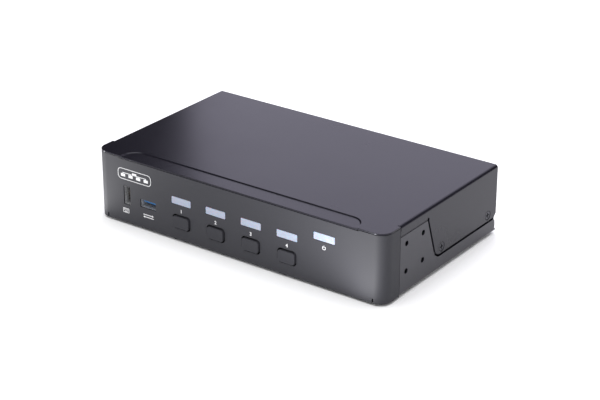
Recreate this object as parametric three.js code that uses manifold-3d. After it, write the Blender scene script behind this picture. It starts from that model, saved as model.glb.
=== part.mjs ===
// Four-computer desktop KVM switch: a pressed steel cover and tray, a moulded front bezel with four
// sprung selector buttons and five lit windows, two front USB sockets, and two stacked boards with a
// double row of sockets at the rear. Millimetres, +Z up, the front looks along -Y, the origin is on
// the surface that the feet stand on, below the middle of the case.
import * as THREE from 'three';
import { mergeVertices } from 'three/addons/utils/BufferGeometryUtils.js';
import Module from 'manifold-3d';

const wasm = await Module();
wasm.setup();

// ---- driving dimensions ---------------------------------------------------------------------

const WIDTH = 218;
const DEPTH = 126;
const BODY_HEIGHT = 45;
const FOOT_HEIGHT = 1.5;
const SHEET = 1;
const BEZEL_WALL = 2;
const GAP = 0.3;
const CUTTER = 1;

const BEZEL_CORNER_R = 8;
const BEZEL_RETURN = 16;
const COVER_BEND_R = 2;
const TRAY_BEND_R = 1.6;
const OUTLINE_SEGMENTS = 4;
const BEZEL_ARC_SEGMENTS = 5;
const ROUND_SEGMENTS = 16;

const HALF_W = WIDTH / 2;
const FRONT = -DEPTH / 2;
const BACK = DEPTH / 2;
const BOTTOM = FOOT_HEIGHT;
const TOP = BOTTOM + BODY_HEIGHT;
const FLOOR = BOTTOM + SHEET;
const CEILING = TOP - SHEET;
const BEZEL_INNER = FRONT + BEZEL_WALL;
const SEAM = FRONT + BEZEL_RETURN;
const SHEET_FRONT = SEAM + GAP / 2;
const PANEL_INNER = BACK - SHEET;

// The front plate joins the cover through a neck; a relief at each end lets the sides fold down.
const RELIEF = { side: 0.2, length: 0.9, neck: 2, cornerR: 1.1 };

// Finger recess pressed into the front edge of the cover.
const RECESS = { halfLength: 89, depth: 12, cornerR: 9.5, press: 0.6, slope: 1 };

// Side of the case: the tray's tab stands in front, the cover's panel behind it, a slot between.
const TAB = { top: 39.2, topBack: -17.9, footBack: -8.2, innerR: 5.5 };
const STRIP = { top: 10.3, rearR: 2, rearCut: 1.2 };
const SLOT = 1.5;
const STRIP_GAP = 0.45;
const COVER_REAR_CHAMFER = 2.3;
const EAR_HOLES = { y: -31.3, z: 24.4, pitch: 17.8, r: 1.75 };
const COVER_SCREWS = { z: 15.8, ys: [-1.1, 52.9] };
const DIMPLE = { r: 3.3, holeR: 1.8, cone: 1.1, reach: 1.9 };
const LUG = { w: 12, above: 5 };
const REAR_FLANGE = { reach: 8, endCut: 6 };

// Front layout, measured from the middle of the case.
const CHANNEL_PITCH = 26.85;
const CHANNEL_1_X = -40.7;
const CHANNELS = 4;
const LENS = { w: 15, h: 4.7, z: 27.55, r: 0.6 };
const POWER_LENS_Z = 33.5;
const CAP = { w: 12.2, h: 7.9, z: 13.6, r: 1.7, proud: 1.2, gap: 0.9 };
const FRONT_USB = [
  { name: 'keyboard', x: -84.7, z: 20.3, upright: true },
  { name: 'data', x: -67.5, z: 18.2, upright: false },
];
const USB_SHELL = { w: 13.3, h: 5.9, wall: 0.4, setBack: 1.2, mouth: 0.6, cornerR: 0.6 };
const USB_TONGUE = { w: 11.1, h: 1.9, offset: 1.1, setBack: 1.2, block: 4 };
const HOOK = { x: 60, w: 10, reach: 4, high: 3 };
const NOTCH = { w: 1, h: 3 };

// Boards.
const BOARD = 1.6;
const FRONT_BOARD_Y = FRONT + 14.4;
const MAIN_BOARD_Z = 7.5;
const VIDEO_BOARD_Z = 27.4;
const BOARD_HALF_W = 101;
const BOARD_BACK = BACK - 1.8;
const BOARD_CORNER_R = 2;
const MAIN_BOARD_FRONT = -42;
const VIDEO_BOARD_FRONT = 14;
const FRONT_BOARD = { x: [-97, 80], z: [4.8, 38] };
const POST = { x: 96, front: -36, back: 52, r: 2.8, boreR: 1.75 };

// Rear sockets: one column for each computer, then the desk side (screen, keyboard, sound) and power.
const HOST_PITCH = 33;
const HOST_1_X = -83;
const CONSOLE_X = 46;
const AUDIO_X = [62, 71.5];
const POWER_X = 86;
const SOCKET_PROUD = 0.6;
const NOSE_PROUD = CAP.proud;
const VIDEO_SOCKET = { w: 17.6, h: 6.2, depth: 16, wall: 0.7, chamfer: 1.8 };
const USB_B_SOCKET = { w: 12, h: 11, depth: 17, wall: 1.3, chamfer: 2 };
const USB_STACK = { w: 14.6, h: 16, depth: 18, wall: 1 };
const AUDIO_JACK = { w: 7, h: 6.6, depth: 12, noseR: 3, boreR: 1.75 };
const DC_INLET = { w: 9, h: 11, depth: 14, boreR: 3.1, pinR: 1, cornerR: 0.6 };
const SOCKET_FLOOR = 3;
const TONGUE_SETBACK = 1.5;

// ---- materials ------------------------------------------------------------------------------

const finish = (color, roughness, metalness) =>
  new THREE.MeshStandardMaterial({ color, roughness, metalness });

const MATERIALS = {
  coatedSteel: finish(0x3f3f46, 0.45, 0.4),
  mouldedPlastic: finish(0x2c2c33, 0.4, 0.1),
  lens: finish(0xc8d0e0, 0.5, 0),
  rubber: finish(0x161616, 0.9, 0),
  socketSteel: finish(0xb9bcc0, 0.3, 0.9),
  fastener: finish(0x55565c, 0.4, 0.8),
  brass: finish(0xb5974d, 0.35, 0.9),
  blackInsert: finish(0x141416, 0.6, 0),
  blueInsert: finish(0x2f74b5, 0.5, 0),
  board: finish(0x1f5a38, 0.55, 0.05),
  aluminium: finish(0x8f9399, 0.4, 0.8),
  ribbon: finish(0xd7d4c8, 0.6, 0),
};

// ---- solids ---------------------------------------------------------------------------------

// A closed geometry as a solid that can be joined and cut.
function solid(geometry) {
  const bare = geometry.clone();
  bare.deleteAttribute('normal');
  bare.deleteAttribute('uv');
  const merged = mergeVertices(bare, 1e-4);
  const corners = [];
  for (let i = 0; i < merged.index.count; i += 3) {
    const [a, b, c] = [0, 1, 2].map((k) => merged.index.getX(i + k));
    if (a !== b && b !== c && c !== a) corners.push(a, b, c);
  }
  return new wasm.Manifold(new wasm.Mesh({
    numProp: 3,
    vertProperties: new Float32Array(merged.attributes.position.array),
    triVerts: new Uint32Array(corners),
  }));
}

const join = (...solids) => solids.reduce((whole, piece) => whole.add(piece));
const cut = (whole, ...cutters) => cutters.reduce((left, cutter) => left.subtract(cutter), whole);

function toMesh(name, body, material) {
  const { vertProperties, triVerts } = body.getMesh();
  const geometry = new THREE.BufferGeometry();
  geometry.setAttribute('position', new THREE.BufferAttribute(vertProperties, 3));
  geometry.setIndex(new THREE.BufferAttribute(triVerts, 1));
  geometry.computeVertexNormals();
  const mesh = new THREE.Mesh(geometry, material);
  mesh.name = name;
  return mesh;
}

function box([x0, x1], [y0, y1], [z0, z1]) {
  const geometry = new THREE.BoxGeometry(x1 - x0, y1 - y0, z1 - z0);
  return solid(geometry.translate((x0 + x1) / 2, (y0 + y1) / 2, (z0 + z1) / 2));
}

const around = (middle, size) => [middle - size / 2, middle + size / 2];

function extrusion(shape, depth, segments) {
  return new THREE.ExtrudeGeometry(shape, { depth, bevelEnabled: false, curveSegments: segments });
}

// An outline drawn in X and Y, standing from z0 to z1.
function prismZ(shape, [z0, z1], segments = OUTLINE_SEGMENTS) {
  return solid(extrusion(shape, z1 - z0, segments).translate(0, 0, z0));
}

// An outline drawn in X and Z, reaching from y0 to y1.
function prismY(shape, [y0, y1], segments = OUTLINE_SEGMENTS) {
  return solid(extrusion(shape, y1 - y0, segments).rotateX(Math.PI / 2).translate(0, y1, 0));
}

// An outline drawn in Y and Z, reaching from x0 to x1.
function prismX(shape, [x0, x1], segments = OUTLINE_SEGMENTS) {
  const turn = new THREE.Matrix4().set(0, 0, 1, 0, 1, 0, 0, 0, 0, 1, 0, 0, 0, 0, 0, 1);
  return solid(extrusion(shape, x1 - x0, segments).applyMatrix4(turn).translate(x0, 0, 0));
}

// A profile of [radius, height] pairs, both ends on the axis, turned about the chosen axis.
function turned(profile, axis, [x, y, z], segments = ROUND_SEGMENTS) {
  const points = profile.map(([r, h]) => new THREE.Vector2(r, h));
  const geometry = new THREE.LatheGeometry(points, segments);
  if (axis === 'z') geometry.rotateX(Math.PI / 2);
  if (axis === '+x') geometry.rotateZ(-Math.PI / 2);
  if (axis === '-x') geometry.rotateZ(Math.PI / 2);
  return solid(geometry.translate(x, y, z));
}

const rod = (r, from, to) => [[0, from], [r, from], [r, to], [0, to]];

// ---- outlines -------------------------------------------------------------------------------

function roundedRect(w, h, r, cx = 0, cy = 0) {
  const [x0, x1] = around(cx, w);
  const [y0, y1] = around(cy, h);
  const shape = new THREE.Shape();
  shape.absarc(x0 + r, y0 + r, r, Math.PI, 1.5 * Math.PI, false);
  shape.absarc(x1 - r, y0 + r, r, 1.5 * Math.PI, 2 * Math.PI, false);
  shape.absarc(x1 - r, y1 - r, r, 0, 0.5 * Math.PI, false);
  shape.absarc(x0 + r, y1 - r, r, 0.5 * Math.PI, Math.PI, false);
  return shape;
}

// A plan outline that is square at the back and round at its two front corners.
function frontRounded(halfW, front, back, r) {
  const shape = new THREE.Shape();
  shape.absarc(-halfW + r, front + r, r, Math.PI, 1.5 * Math.PI, false);
  shape.absarc(halfW - r, front + r, r, 1.5 * Math.PI, 2 * Math.PI, false);
  shape.lineTo(halfW, back);
  shape.lineTo(-halfW, back);
  return shape;
}

function polygon(points) {
  return new THREE.Shape(points.map(([a, b]) => new THREE.Vector2(a, b)));
}

// A rectangle with its two upper corners cut off.
function chamferedRect(w, h, chamfer, cx, cy) {
  const [x0, x1] = around(cx, w);
  const [y0, y1] = around(cy, h);
  return polygon([
    [x0, y0], [x1, y0], [x1, y1 - chamfer], [x1 - chamfer, y1], [x0 + chamfer, y1], [x0, y1 - chamfer],
  ]);
}

// ---- top cover ------------------------------------------------------------------------------

// Cross-section of the folded cover: a flat top with a side panel bent down at each edge.
function coverSection() {
  const innerR = COVER_BEND_R - SHEET;
  const outer = HALF_W - COVER_BEND_R;
  const shape = new THREE.Shape();
  shape.absarc(outer, TOP - COVER_BEND_R, COVER_BEND_R, 0, Math.PI / 2, false);
  shape.absarc(-outer, TOP - COVER_BEND_R, COVER_BEND_R, Math.PI / 2, Math.PI, false);
  shape.lineTo(-HALF_W, BOTTOM);
  shape.lineTo(-HALF_W + SHEET, BOTTOM);
  shape.absarc(-outer, TOP - COVER_BEND_R, innerR, Math.PI, Math.PI / 2, true);
  shape.absarc(outer, TOP - COVER_BEND_R, innerR, Math.PI / 2, 0, true);
  shape.lineTo(HALF_W - SHEET, BOTTOM);
  shape.lineTo(HALF_W, BOTTOM);
  return shape;
}

// Side view of what the cover keeps: a strip above the tray's tab, then the panel behind the slot.
function coverSideView() {
  const slant = (TAB.footBack - TAB.topBack) / (TAB.top - STRIP.top);
  const low = STRIP.top + SLOT;
  const stripLow = TAB.top + STRIP_GAP;
  const slotBack = (z) => TAB.topBack + SLOT + slant * (TAB.top - z);
  const innerR = TAB.innerR - SLOT;
  const shape = new THREE.Shape();
  shape.moveTo(SHEET_FRONT, TOP + CUTTER);
  shape.lineTo(SHEET_FRONT, stripLow);
  shape.lineTo(slotBack(stripLow), stripLow);
  shape.lineTo(slotBack(low + innerR), low + innerR);
  shape.quadraticCurveTo(slotBack(low), low, slotBack(low) + innerR, low);
  shape.lineTo(BACK - COVER_REAR_CHAMFER, low);
  shape.lineTo(BACK, low + COVER_REAR_CHAMFER);
  shape.lineTo(BACK, TOP + CUTTER);
  return shape;
}

function recessOutline(grow) {
  const { halfLength, depth, cornerR } = RECESS;
  const x = halfLength + grow;
  const back = FRONT + depth + grow;
  const r = cornerR + grow;
  const shape = new THREE.Shape();
  shape.moveTo(-x, FRONT - 4 * CUTTER);
  shape.lineTo(x, FRONT - 4 * CUTTER);
  shape.absarc(x - r, back - r, r, 0, Math.PI / 2, false);
  shape.absarc(-x + r, back - r, r, Math.PI / 2, Math.PI, false);
  return shape;
}

// The space above the pressed recess, with sloping ends and a sloping back.
function recessHollow() {
  const geometry = new THREE.ExtrudeGeometry(recessOutline(-RECESS.slope), {
    depth: CUTTER,
    bevelThickness: RECESS.press,
    bevelSize: RECESS.slope,
    bevelSegments: 2,
    curveSegments: OUTLINE_SEGMENTS,
  });
  return solid(geometry.translate(0, 0, TOP));
}

// A cone pressed into a side panel so that a countersunk screw sits flush: side is +1 or -1.
function screwDimple(side, y) {
  const { r, holeR, cone, reach } = DIMPLE;
  const profile = [
    [0, -reach], [holeR + SHEET, -reach], [r + SHEET / 2, -SHEET / 2], [r + SHEET / 2, -GAP], [0, -GAP],
  ];
  const deep = -reach - CUTTER;
  const hollow = [[0, deep], [holeR, deep], [holeR, -cone], [r, 0], [r, CUTTER], [0, CUTTER]];
  const at = [side * HALF_W, y, COVER_SCREWS.z];
  const axis = side > 0 ? '+x' : '-x';
  return { pressed: turned(profile, axis, at), hollow: turned(hollow, axis, at) };
}

const eachSide = (make) => [-1, 1].flatMap((side) => make(side));
const sideName = (side) => (side < 0 ? 'left' : 'right');

function topCover() {
  const edge = COVER_BEND_R + RELIEF.side;
  const folded = prismY(coverSection(), [SHEET_FRONT, BACK], 3)
    .intersect(prismX(coverSideView(), [-HALF_W - CUTTER, HALF_W + CUTTER], 5));
  const frontPlate = prismZ(frontRounded(HALF_W, FRONT, SEAM - GAP, BEZEL_CORNER_R), [CEILING, TOP]);
  const bridge = box(around(0, WIDTH - 2 * edge), [SEAM - RELIEF.neck, SEAM + RELIEF.neck], [CEILING, TOP]);
  const bulge = prismZ(recessOutline(SHEET / 2), [CEILING - RECESS.press, TOP - GAP])
    .intersect(box([-HALF_W, HALF_W], [FRONT, BACK], [0, TOP]));
  const dimples = eachSide((side) => COVER_SCREWS.ys.map((y) => screwDimple(side, y)));
  const reliefs = eachSide((side) => [
    box(around(side * HALF_W, 2 * edge), around(SEAM + RELIEF.length / 2 - GAP, RELIEF.length),
      around(TOP, 2 * edge)),
    turned(rod(RELIEF.cornerR, -2 * SHEET, SHEET), side > 0 ? '+x' : '-x',
      [side * HALF_W, TAB.topBack + SLOT / 2, TAB.top + STRIP_GAP]),
  ]);
  const pressed = join(folded, frontPlate, bridge, bulge, ...dimples.map((dimple) => dimple.pressed));
  return cut(pressed, recessHollow(), ...dimples.map((dimple) => dimple.hollow), ...reliefs);
}

// ---- base tray ------------------------------------------------------------------------------

// Cross-section of the folded tray: a floor with a flange bent up at each edge.
function traySection() {
  const innerR = TRAY_BEND_R - SHEET;
  const edge = HALF_W - TRAY_BEND_R;
  const shape = new THREE.Shape();
  shape.absarc(-edge, BOTTOM + TRAY_BEND_R, TRAY_BEND_R, Math.PI, 1.5 * Math.PI, false);
  shape.absarc(edge, BOTTOM + TRAY_BEND_R, TRAY_BEND_R, 1.5 * Math.PI, 2 * Math.PI, false);
  shape.lineTo(HALF_W, TAB.top);
  shape.lineTo(HALF_W - SHEET, TAB.top);
  shape.absarc(edge, BOTTOM + TRAY_BEND_R, innerR, 2 * Math.PI, 1.5 * Math.PI, true);
  shape.absarc(-edge, BOTTOM + TRAY_BEND_R, innerR, 1.5 * Math.PI, Math.PI, true);
  shape.lineTo(-HALF_W + SHEET, TAB.top);
  shape.lineTo(-HALF_W, TAB.top);
  return shape;
}

// Side view of what the tray keeps: the tall tab in front and the low strip behind it.
function traySideView() {
  const { top, topBack, footBack, innerR } = TAB;
  const { top: stripTop, rearR } = STRIP;
  const slant = (footBack - topBack) / (top - stripTop);
  const stripBack = BACK - STRIP.rearCut;
  const foldTop = BOTTOM + TRAY_BEND_R;
  const shape = new THREE.Shape();
  shape.moveTo(SHEET_FRONT, BOTTOM - CUTTER);
  shape.lineTo(BACK, BOTTOM - CUTTER);
  shape.lineTo(BACK, foldTop);
  shape.lineTo(stripBack, foldTop);
  shape.lineTo(stripBack, stripTop - rearR);
  shape.absarc(stripBack - rearR, stripTop - rearR, rearR, 0, Math.PI / 2, false);
  shape.lineTo(footBack + innerR, stripTop);
  shape.quadraticCurveTo(footBack, stripTop, footBack - slant * innerR, stripTop + innerR);
  shape.lineTo(topBack, top);
  shape.lineTo(SHEET_FRONT, top);
  return shape;
}

const postPlaces = () => eachSide((side) => [
  { name: sideName(side), x: side * POST.x, y: POST.front, rear: false },
  { name: sideName(side), x: side * POST.x, y: POST.back, rear: true },
]);

function trayFloor() {
  const halfW = HALF_W - BEZEL_WALL - GAP;
  const outline = frontRounded(halfW, BEZEL_INNER + GAP, SEAM + RELIEF.neck, BEZEL_CORNER_R - BEZEL_WALL);
  return prismZ(outline, [BOTTOM, FLOOR]);
}

// Four holes on a square in each tab.
function earHoles() {
  const half = EAR_HOLES.pitch / 2;
  return eachSide((side) => [-half, half].flatMap((across) => [-half, half].map((up) =>
    turned(rod(EAR_HOLES.r, -2 * SHEET, 2 * SHEET), '+x',
      [side * HALF_W, EAR_HOLES.y + across, EAR_HOLES.z + up], 12))));
}

// Lugs inside the cover's side panels, which take the cover screws.
function screwLugs() {
  const outer = HALF_W - DIMPLE.reach - GAP;
  const places = eachSide((side) => COVER_SCREWS.ys.map((y) => ({ side, y })));
  return {
    lugs: places.map(({ side, y }) => box(around(side * (outer - SHEET / 2), SHEET), around(y, LUG.w),
      [BOTTOM, COVER_SCREWS.z + LUG.above])),
    holes: places.map(({ side, y }) =>
      turned(rod(DIMPLE.holeR, -2 * SHEET, 2 * SHEET), '+x', [side * outer, y, COVER_SCREWS.z])),
  };
}

function baseTray() {
  const folded = prismY(traySection(), [SHEET_FRONT, BACK], 2)
    .intersect(prismX(traySideView(), [-HALF_W - CUTTER, HALF_W + CUTTER], 5));
  const { lugs, holes } = screwLugs();
  const posts = postPlaces().map(({ x, y }) =>
    turned(rod(POST.r, FLOOR - SHEET / 2, MAIN_BOARD_Z - GAP), 'z', [x, y, 0]));
  const bores = postPlaces().map(({ x, y }) =>
    turned(rod(POST.boreR, FLOOR, MAIN_BOARD_Z + CUTTER), 'z', [x, y, 0]));
  return cut(join(folded, trayFloor(), ...lugs, ...posts), ...bores, ...holes, ...earHoles());
}

// ---- rear panel -----------------------------------------------------------------------------

// Side view of the rear panel: a wall bent up from a flange that lies on the tray's floor.
function rearPanelSection() {
  const low = FLOOR + GAP;
  const [cy, cz] = [BACK - TRAY_BEND_R, low + TRAY_BEND_R];
  const shape = new THREE.Shape();
  shape.absarc(cy, cz, TRAY_BEND_R, 1.5 * Math.PI, 2 * Math.PI, false);
  shape.lineTo(BACK, CEILING - GAP);
  shape.lineTo(PANEL_INNER, CEILING - GAP);
  shape.absarc(cy, cz, TRAY_BEND_R - SHEET, 2 * Math.PI, 1.5 * Math.PI, true);
  shape.lineTo(BACK - REAR_FLANGE.reach, low + SHEET);
  shape.lineTo(BACK - REAR_FLANGE.reach, low);
  return shape;
}

function panelCutout(shape) {
  return prismY(shape, [PANEL_INNER - CUTTER, BACK + CUTTER], 1);
}

function rearCutouts() {
  const clear = 2 * GAP;
  const { w, h, chamfer } = VIDEO_SOCKET;
  const videos = [...hostColumns(), CONSOLE_X].map((x) =>
    panelCutout(chamferedRect(w + clear, h + clear, chamfer, x, socketZ(VIDEO_BOARD_Z, h))));
  const hosts = hostColumns().map((x) =>
    panelCutout(roundedRect(USB_B_SOCKET.w + clear, USB_B_SOCKET.h + clear, GAP, x,
      socketZ(MAIN_BOARD_Z, USB_B_SOCKET.h))));
  const stack = panelCutout(roundedRect(USB_STACK.w + clear, USB_STACK.h + clear, GAP, CONSOLE_X,
    socketZ(MAIN_BOARD_Z, USB_STACK.h)));
  const power = panelCutout(roundedRect(DC_INLET.w + clear, DC_INLET.h + clear, GAP, POWER_X,
    socketZ(MAIN_BOARD_Z, DC_INLET.h)));
  const sounds = AUDIO_X.map((x) =>
    turned(rod(AUDIO_JACK.noseR + GAP, PANEL_INNER - CUTTER, BACK + CUTTER), 'y',
      [x, 0, socketZ(MAIN_BOARD_Z, AUDIO_JACK.h)]));
  return [...videos, ...hosts, stack, power, ...sounds];
}

// The flange stops short of the tray's screw lugs at both ends.
function rearPanel() {
  const halfW = HALF_W - SHEET - GAP;
  const wall = prismX(rearPanelSection(), [-halfW, halfW], 2);
  const endCuts = eachSide((side) => [
    box(around(side * halfW, 2 * REAR_FLANGE.endCut), [0, BACK - TRAY_BEND_R],
      [BOTTOM, FLOOR + GAP + 2 * SHEET]),
  ]);
  return cut(wall, ...endCuts, ...rearCutouts());
}

// ---- front bezel ----------------------------------------------------------------------------

const channelX = (n) => CHANNEL_1_X + n * CHANNEL_PITCH;
const channelNumbers = () => Array.from({ length: CHANNELS }, (_, n) => n);
const lensPlaces = () => [
  ...channelNumbers().map((n) => ({ name: `${n + 1}`, x: channelX(n), z: LENS.z })),
  { name: 'power', x: channelX(CHANNELS), z: POWER_LENS_Z },
];

function frontOpening(w, h, r, x, z) {
  return prismY(roundedRect(w, h, r, x, z), [FRONT - CUTTER, BEZEL_INNER + CUTTER], 2);
}

// Plan view of the bezel: a U with round corners, its arms reaching back to the seam.
function bezelOutline() {
  const rear = SEAM - GAP / 2;
  const innerR = BEZEL_CORNER_R - BEZEL_WALL;
  const cx = HALF_W - BEZEL_CORNER_R;
  const cy = FRONT + BEZEL_CORNER_R;
  const shape = new THREE.Shape();
  shape.absarc(-cx, cy, BEZEL_CORNER_R, Math.PI, 1.5 * Math.PI, false);
  shape.absarc(cx, cy, BEZEL_CORNER_R, 1.5 * Math.PI, 2 * Math.PI, false);
  shape.lineTo(HALF_W, rear);
  shape.lineTo(HALF_W - BEZEL_WALL, rear);
  shape.absarc(cx, cy, innerR, 2 * Math.PI, 1.5 * Math.PI, true);
  shape.absarc(-cx, cy, innerR, 1.5 * Math.PI, Math.PI, true);
  shape.lineTo(-HALF_W + BEZEL_WALL, rear);
  shape.lineTo(-HALF_W, rear);
  return shape;
}

function frontBezel() {
  const { gap } = CAP;
  const wall = prismZ(bezelOutline(), [BOTTOM, CEILING - GAP], BEZEL_ARC_SEGMENTS);
  const hooks = eachSide((side) => [
    box(around(side * HOOK.x, HOOK.w), [BEZEL_INNER - SHEET, BEZEL_INNER + HOOK.reach],
      [FLOOR + GAP, FLOOR + HOOK.high]),
  ]);
  const underRecess = box(around(0, 2 * RECESS.halfLength + 3), [FRONT - CUTTER, SEAM],
    [CEILING - RECESS.press - GAP, TOP]);
  const notches = eachSide((side) => [
    box(around(side * (HALF_W - BEZEL_CORNER_R), NOTCH.w), [FRONT - CUTTER, BEZEL_INNER],
      [0, BOTTOM + NOTCH.h]),
  ]);
  const windows = lensPlaces().map(({ x, z }) =>
    frontOpening(LENS.w + 2 * GAP, LENS.h + 2 * GAP, LENS.r + GAP, x, z));
  const buttons = channelNumbers().map((n) =>
    frontOpening(CAP.w + 2 * gap, CAP.h + 2 * gap, CAP.r + gap, channelX(n), CAP.z));
  const sockets = FRONT_USB.map(({ x, z, upright }) => {
    const long = USB_SHELL.w + 2 * USB_SHELL.mouth;
    const short = USB_SHELL.h + 2 * USB_SHELL.mouth;
    return frontOpening(upright ? short : long, upright ? long : short, USB_SHELL.cornerR, x, z);
  });
  return cut(join(wall, ...hooks), underRecess, ...notches, ...windows, ...buttons, ...sockets);
}

// ---- front controls -------------------------------------------------------------------------

const FLANGE = { lip: 1.6, front: BEZEL_INNER + 0.4, t: 1 };
const CAP_SOFT = 0.4;
const PUSH_POST_R = 2.2;
const PLUNGER = { r: 1.7, front: FRONT_BOARD_Y - 6, back: FRONT_BOARD_Y - 2.7 };
const TACT_SWITCH = { size: 6, boreR: 2, front: FRONT_BOARD_Y - 4, boreBack: FRONT_BOARD_Y - 1.7 };
const LIGHT_GUIDE = { w: 8, h: 3, back: FRONT_BOARD_Y - 2 };
const LAMP = { w: 3.2, h: 2.6, t: 1.4 };

// Flange that holds a cap or a window behind the bezel.
function backFlange({ w, h }, x, z) {
  return box(around(x, w + 2 * FLANGE.lip), [FLANGE.front, FLANGE.front + FLANGE.t],
    around(z, h + 2 * FLANGE.lip));
}

// Cap with a softened front edge, drawn out to the flange.
function buttonCap(x) {
  const outline = roundedRect(CAP.w - 2 * CAP_SOFT, CAP.h - 2 * CAP_SOFT, CAP.r - CAP_SOFT);
  const geometry = new THREE.ExtrudeGeometry(outline, {
    depth: FLANGE.front + FLANGE.t / 2 - FRONT + CAP.proud - 2 * CAP_SOFT,
    bevelThickness: CAP_SOFT,
    bevelSize: CAP_SOFT,
    bevelSegments: 2,
    curveSegments: 2,
  });
  return solid(geometry.rotateX(Math.PI / 2).translate(x, FLANGE.front + FLANGE.t / 2 - CAP_SOFT, CAP.z));
}

function selectorButton(x) {
  const post = turned(rod(PUSH_POST_R, FLANGE.front, PLUNGER.front - GAP), 'y', [x, 0, CAP.z], 12);
  return join(buttonCap(x), backFlange(CAP, x, CAP.z), post);
}

const switchPlunger = (x) =>
  turned(rod(PLUNGER.r, PLUNGER.front, PLUNGER.back), 'y', [x, 0, CAP.z], 12);

function tactSwitch(x) {
  const { size, boreR, front, boreBack } = TACT_SWITCH;
  const housing = box(around(x, size), [front, FRONT_BOARD_Y - GAP], around(CAP.z, size));
  return cut(housing, turned(rod(boreR, front - CUTTER, boreBack), 'y', [x, 0, CAP.z], 12));
}

// Window, a flange behind the bezel and a light guide that reaches back to its lamp.
function lightPipe(x, z) {
  const window = prismY(roundedRect(LENS.w, LENS.h, LENS.r, x, z), [FRONT, FLANGE.front + FLANGE.t / 2], 1);
  const guide = box(around(x, LIGHT_GUIDE.w), [FLANGE.front, LIGHT_GUIDE.back], around(z, LIGHT_GUIDE.h));
  return join(window, backFlange(LENS, x, z), guide);
}

// ---- front USB sockets ----------------------------------------------------------------------

// A rectangle across the socket's mouth: offset moves it towards the tongue's side.
function mouthRect({ x, z, upright }, w, h, offset = 0) {
  return upright ? [around(x + offset, h), around(z, w)] : [around(x, w), around(z + offset, h)];
}

function usbShell(place) {
  const { w, h, wall, setBack } = USB_SHELL;
  const [x, z] = mouthRect(place, w, h);
  const [innerX, innerZ] = mouthRect(place, w - 2 * wall, h - 2 * wall);
  const y = [FRONT + setBack, FRONT_BOARD_Y - GAP];
  return cut(box(x, y, z), box(innerX, [y[0] - CUTTER, y[1] + CUTTER], innerZ));
}

function usbTongue(place) {
  const { w, h, wall, setBack } = USB_SHELL;
  const clear = 2 * (wall + GAP);
  const [blockX, blockZ] = mouthRect(place, w - clear, h - clear);
  const [tongueX, tongueZ] = mouthRect(place, USB_TONGUE.w, USB_TONGUE.h, USB_TONGUE.offset);
  const blockFront = FRONT_BOARD_Y - USB_TONGUE.block;
  const block = box(blockX, [blockFront, FRONT_BOARD_Y - GAP], blockZ);
  return join(block, box(tongueX, [FRONT + setBack + USB_TONGUE.setBack, blockFront + CUTTER], tongueZ));
}

// ---- rear sockets ---------------------------------------------------------------------------

const hostColumns = () => Array.from({ length: CHANNELS }, (_, n) => HOST_1_X + n * HOST_PITCH);
const socketZ = (boardZ, height) => boardZ + BOARD + GAP + height / 2;

// A socket body with an open mouth at the rear and a tongue on its inner end.
function rearSocket(outline, mouth, tongue, depth, proud = SOCKET_PROUD) {
  const mouthY = BACK + proud;
  const endY = mouthY - depth;
  const wallY = endY + SOCKET_FLOOR;
  const body = prismY(outline, [endY, mouthY], 1);
  const hollow = prismY(mouth, [wallY, mouthY + CUTTER], 1);
  return join(cut(body, hollow), prismY(tongue, [wallY - CUTTER, mouthY - TONGUE_SETBACK], 1));
}

function videoSocket(x) {
  const { w, h, depth, wall, chamfer } = VIDEO_SOCKET;
  const z = socketZ(VIDEO_BOARD_Z, h);
  return rearSocket(chamferedRect(w, h, chamfer, x, z),
    chamferedRect(w - 2 * wall, h - 2 * wall, chamfer - wall / 2, x, z),
    chamferedRect(13, 1.4, 0.2, x, z), depth);
}

function usbSquareSocket(x) {
  const { w, h, depth, wall, chamfer } = USB_B_SOCKET;
  const z = socketZ(MAIN_BOARD_Z, h);
  const mouth = chamferedRect(w - 2.6 * wall, h - 2.2 * wall, chamfer, x, z);
  return rearSocket(roundedRect(w, h, 0.3, x, z), mouth, roundedRect(5.6, 3.2, 0.2, x, z), depth);
}

function usbStack() {
  const { w, h, depth, wall } = USB_STACK;
  const z = socketZ(MAIN_BOARD_Z, h);
  const mouthW = w - 2 * wall;
  const mouthH = (h - 3 * wall) / 2 - 0.6;
  const mouthY = BACK + SOCKET_PROUD;
  const wallY = mouthY - depth + SOCKET_FLOOR;
  const levels = [-1, 1].map((up) => z + up * h / 4);
  const body = box(around(CONSOLE_X, w), [mouthY - depth, mouthY], around(z, h));
  const hollows = levels.map((level) =>
    box(around(CONSOLE_X, mouthW), [wallY, mouthY + CUTTER], around(level, mouthH)));
  const tongues = levels.map((level) =>
    box(around(CONSOLE_X, USB_TONGUE.w), [wallY - CUTTER, mouthY - TONGUE_SETBACK],
      around(level + 1, USB_TONGUE.h)));
  return join(cut(body, ...hollows), ...tongues);
}

function audioJack(x) {
  const { w, h, depth, noseR, boreR } = AUDIO_JACK;
  const z = socketZ(MAIN_BOARD_Z, h);
  const mouthY = BACK + NOSE_PROUD;
  const bodyBack = PANEL_INNER - GAP;
  const body = box(around(x, w), [bodyBack - depth, bodyBack], around(z, h));
  const nose = turned(rod(noseR, bodyBack - CUTTER, mouthY), 'y', [x, 0, z]);
  const bore = turned(rod(boreR, bodyBack - depth + SOCKET_FLOOR, mouthY + CUTTER), 'y', [x, 0, z], 12);
  return cut(join(body, nose), bore);
}

function powerInlet() {
  const { w, h, depth, boreR, pinR, cornerR } = DC_INLET;
  const z = socketZ(MAIN_BOARD_Z, h);
  const mouthY = BACK + NOSE_PROUD;
  const wallY = mouthY - depth + SOCKET_FLOOR;
  const body = prismY(roundedRect(w, h, cornerR, POWER_X, z), [mouthY - depth, mouthY], 2);
  const bore = turned(rod(boreR, wallY, mouthY + CUTTER), 'y', [POWER_X, 0, z]);
  const pin = turned(rod(pinR, wallY - CUTTER, mouthY - 2), 'y', [POWER_X, 0, z], 10);
  return join(cut(body, bore), pin);
}

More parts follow.
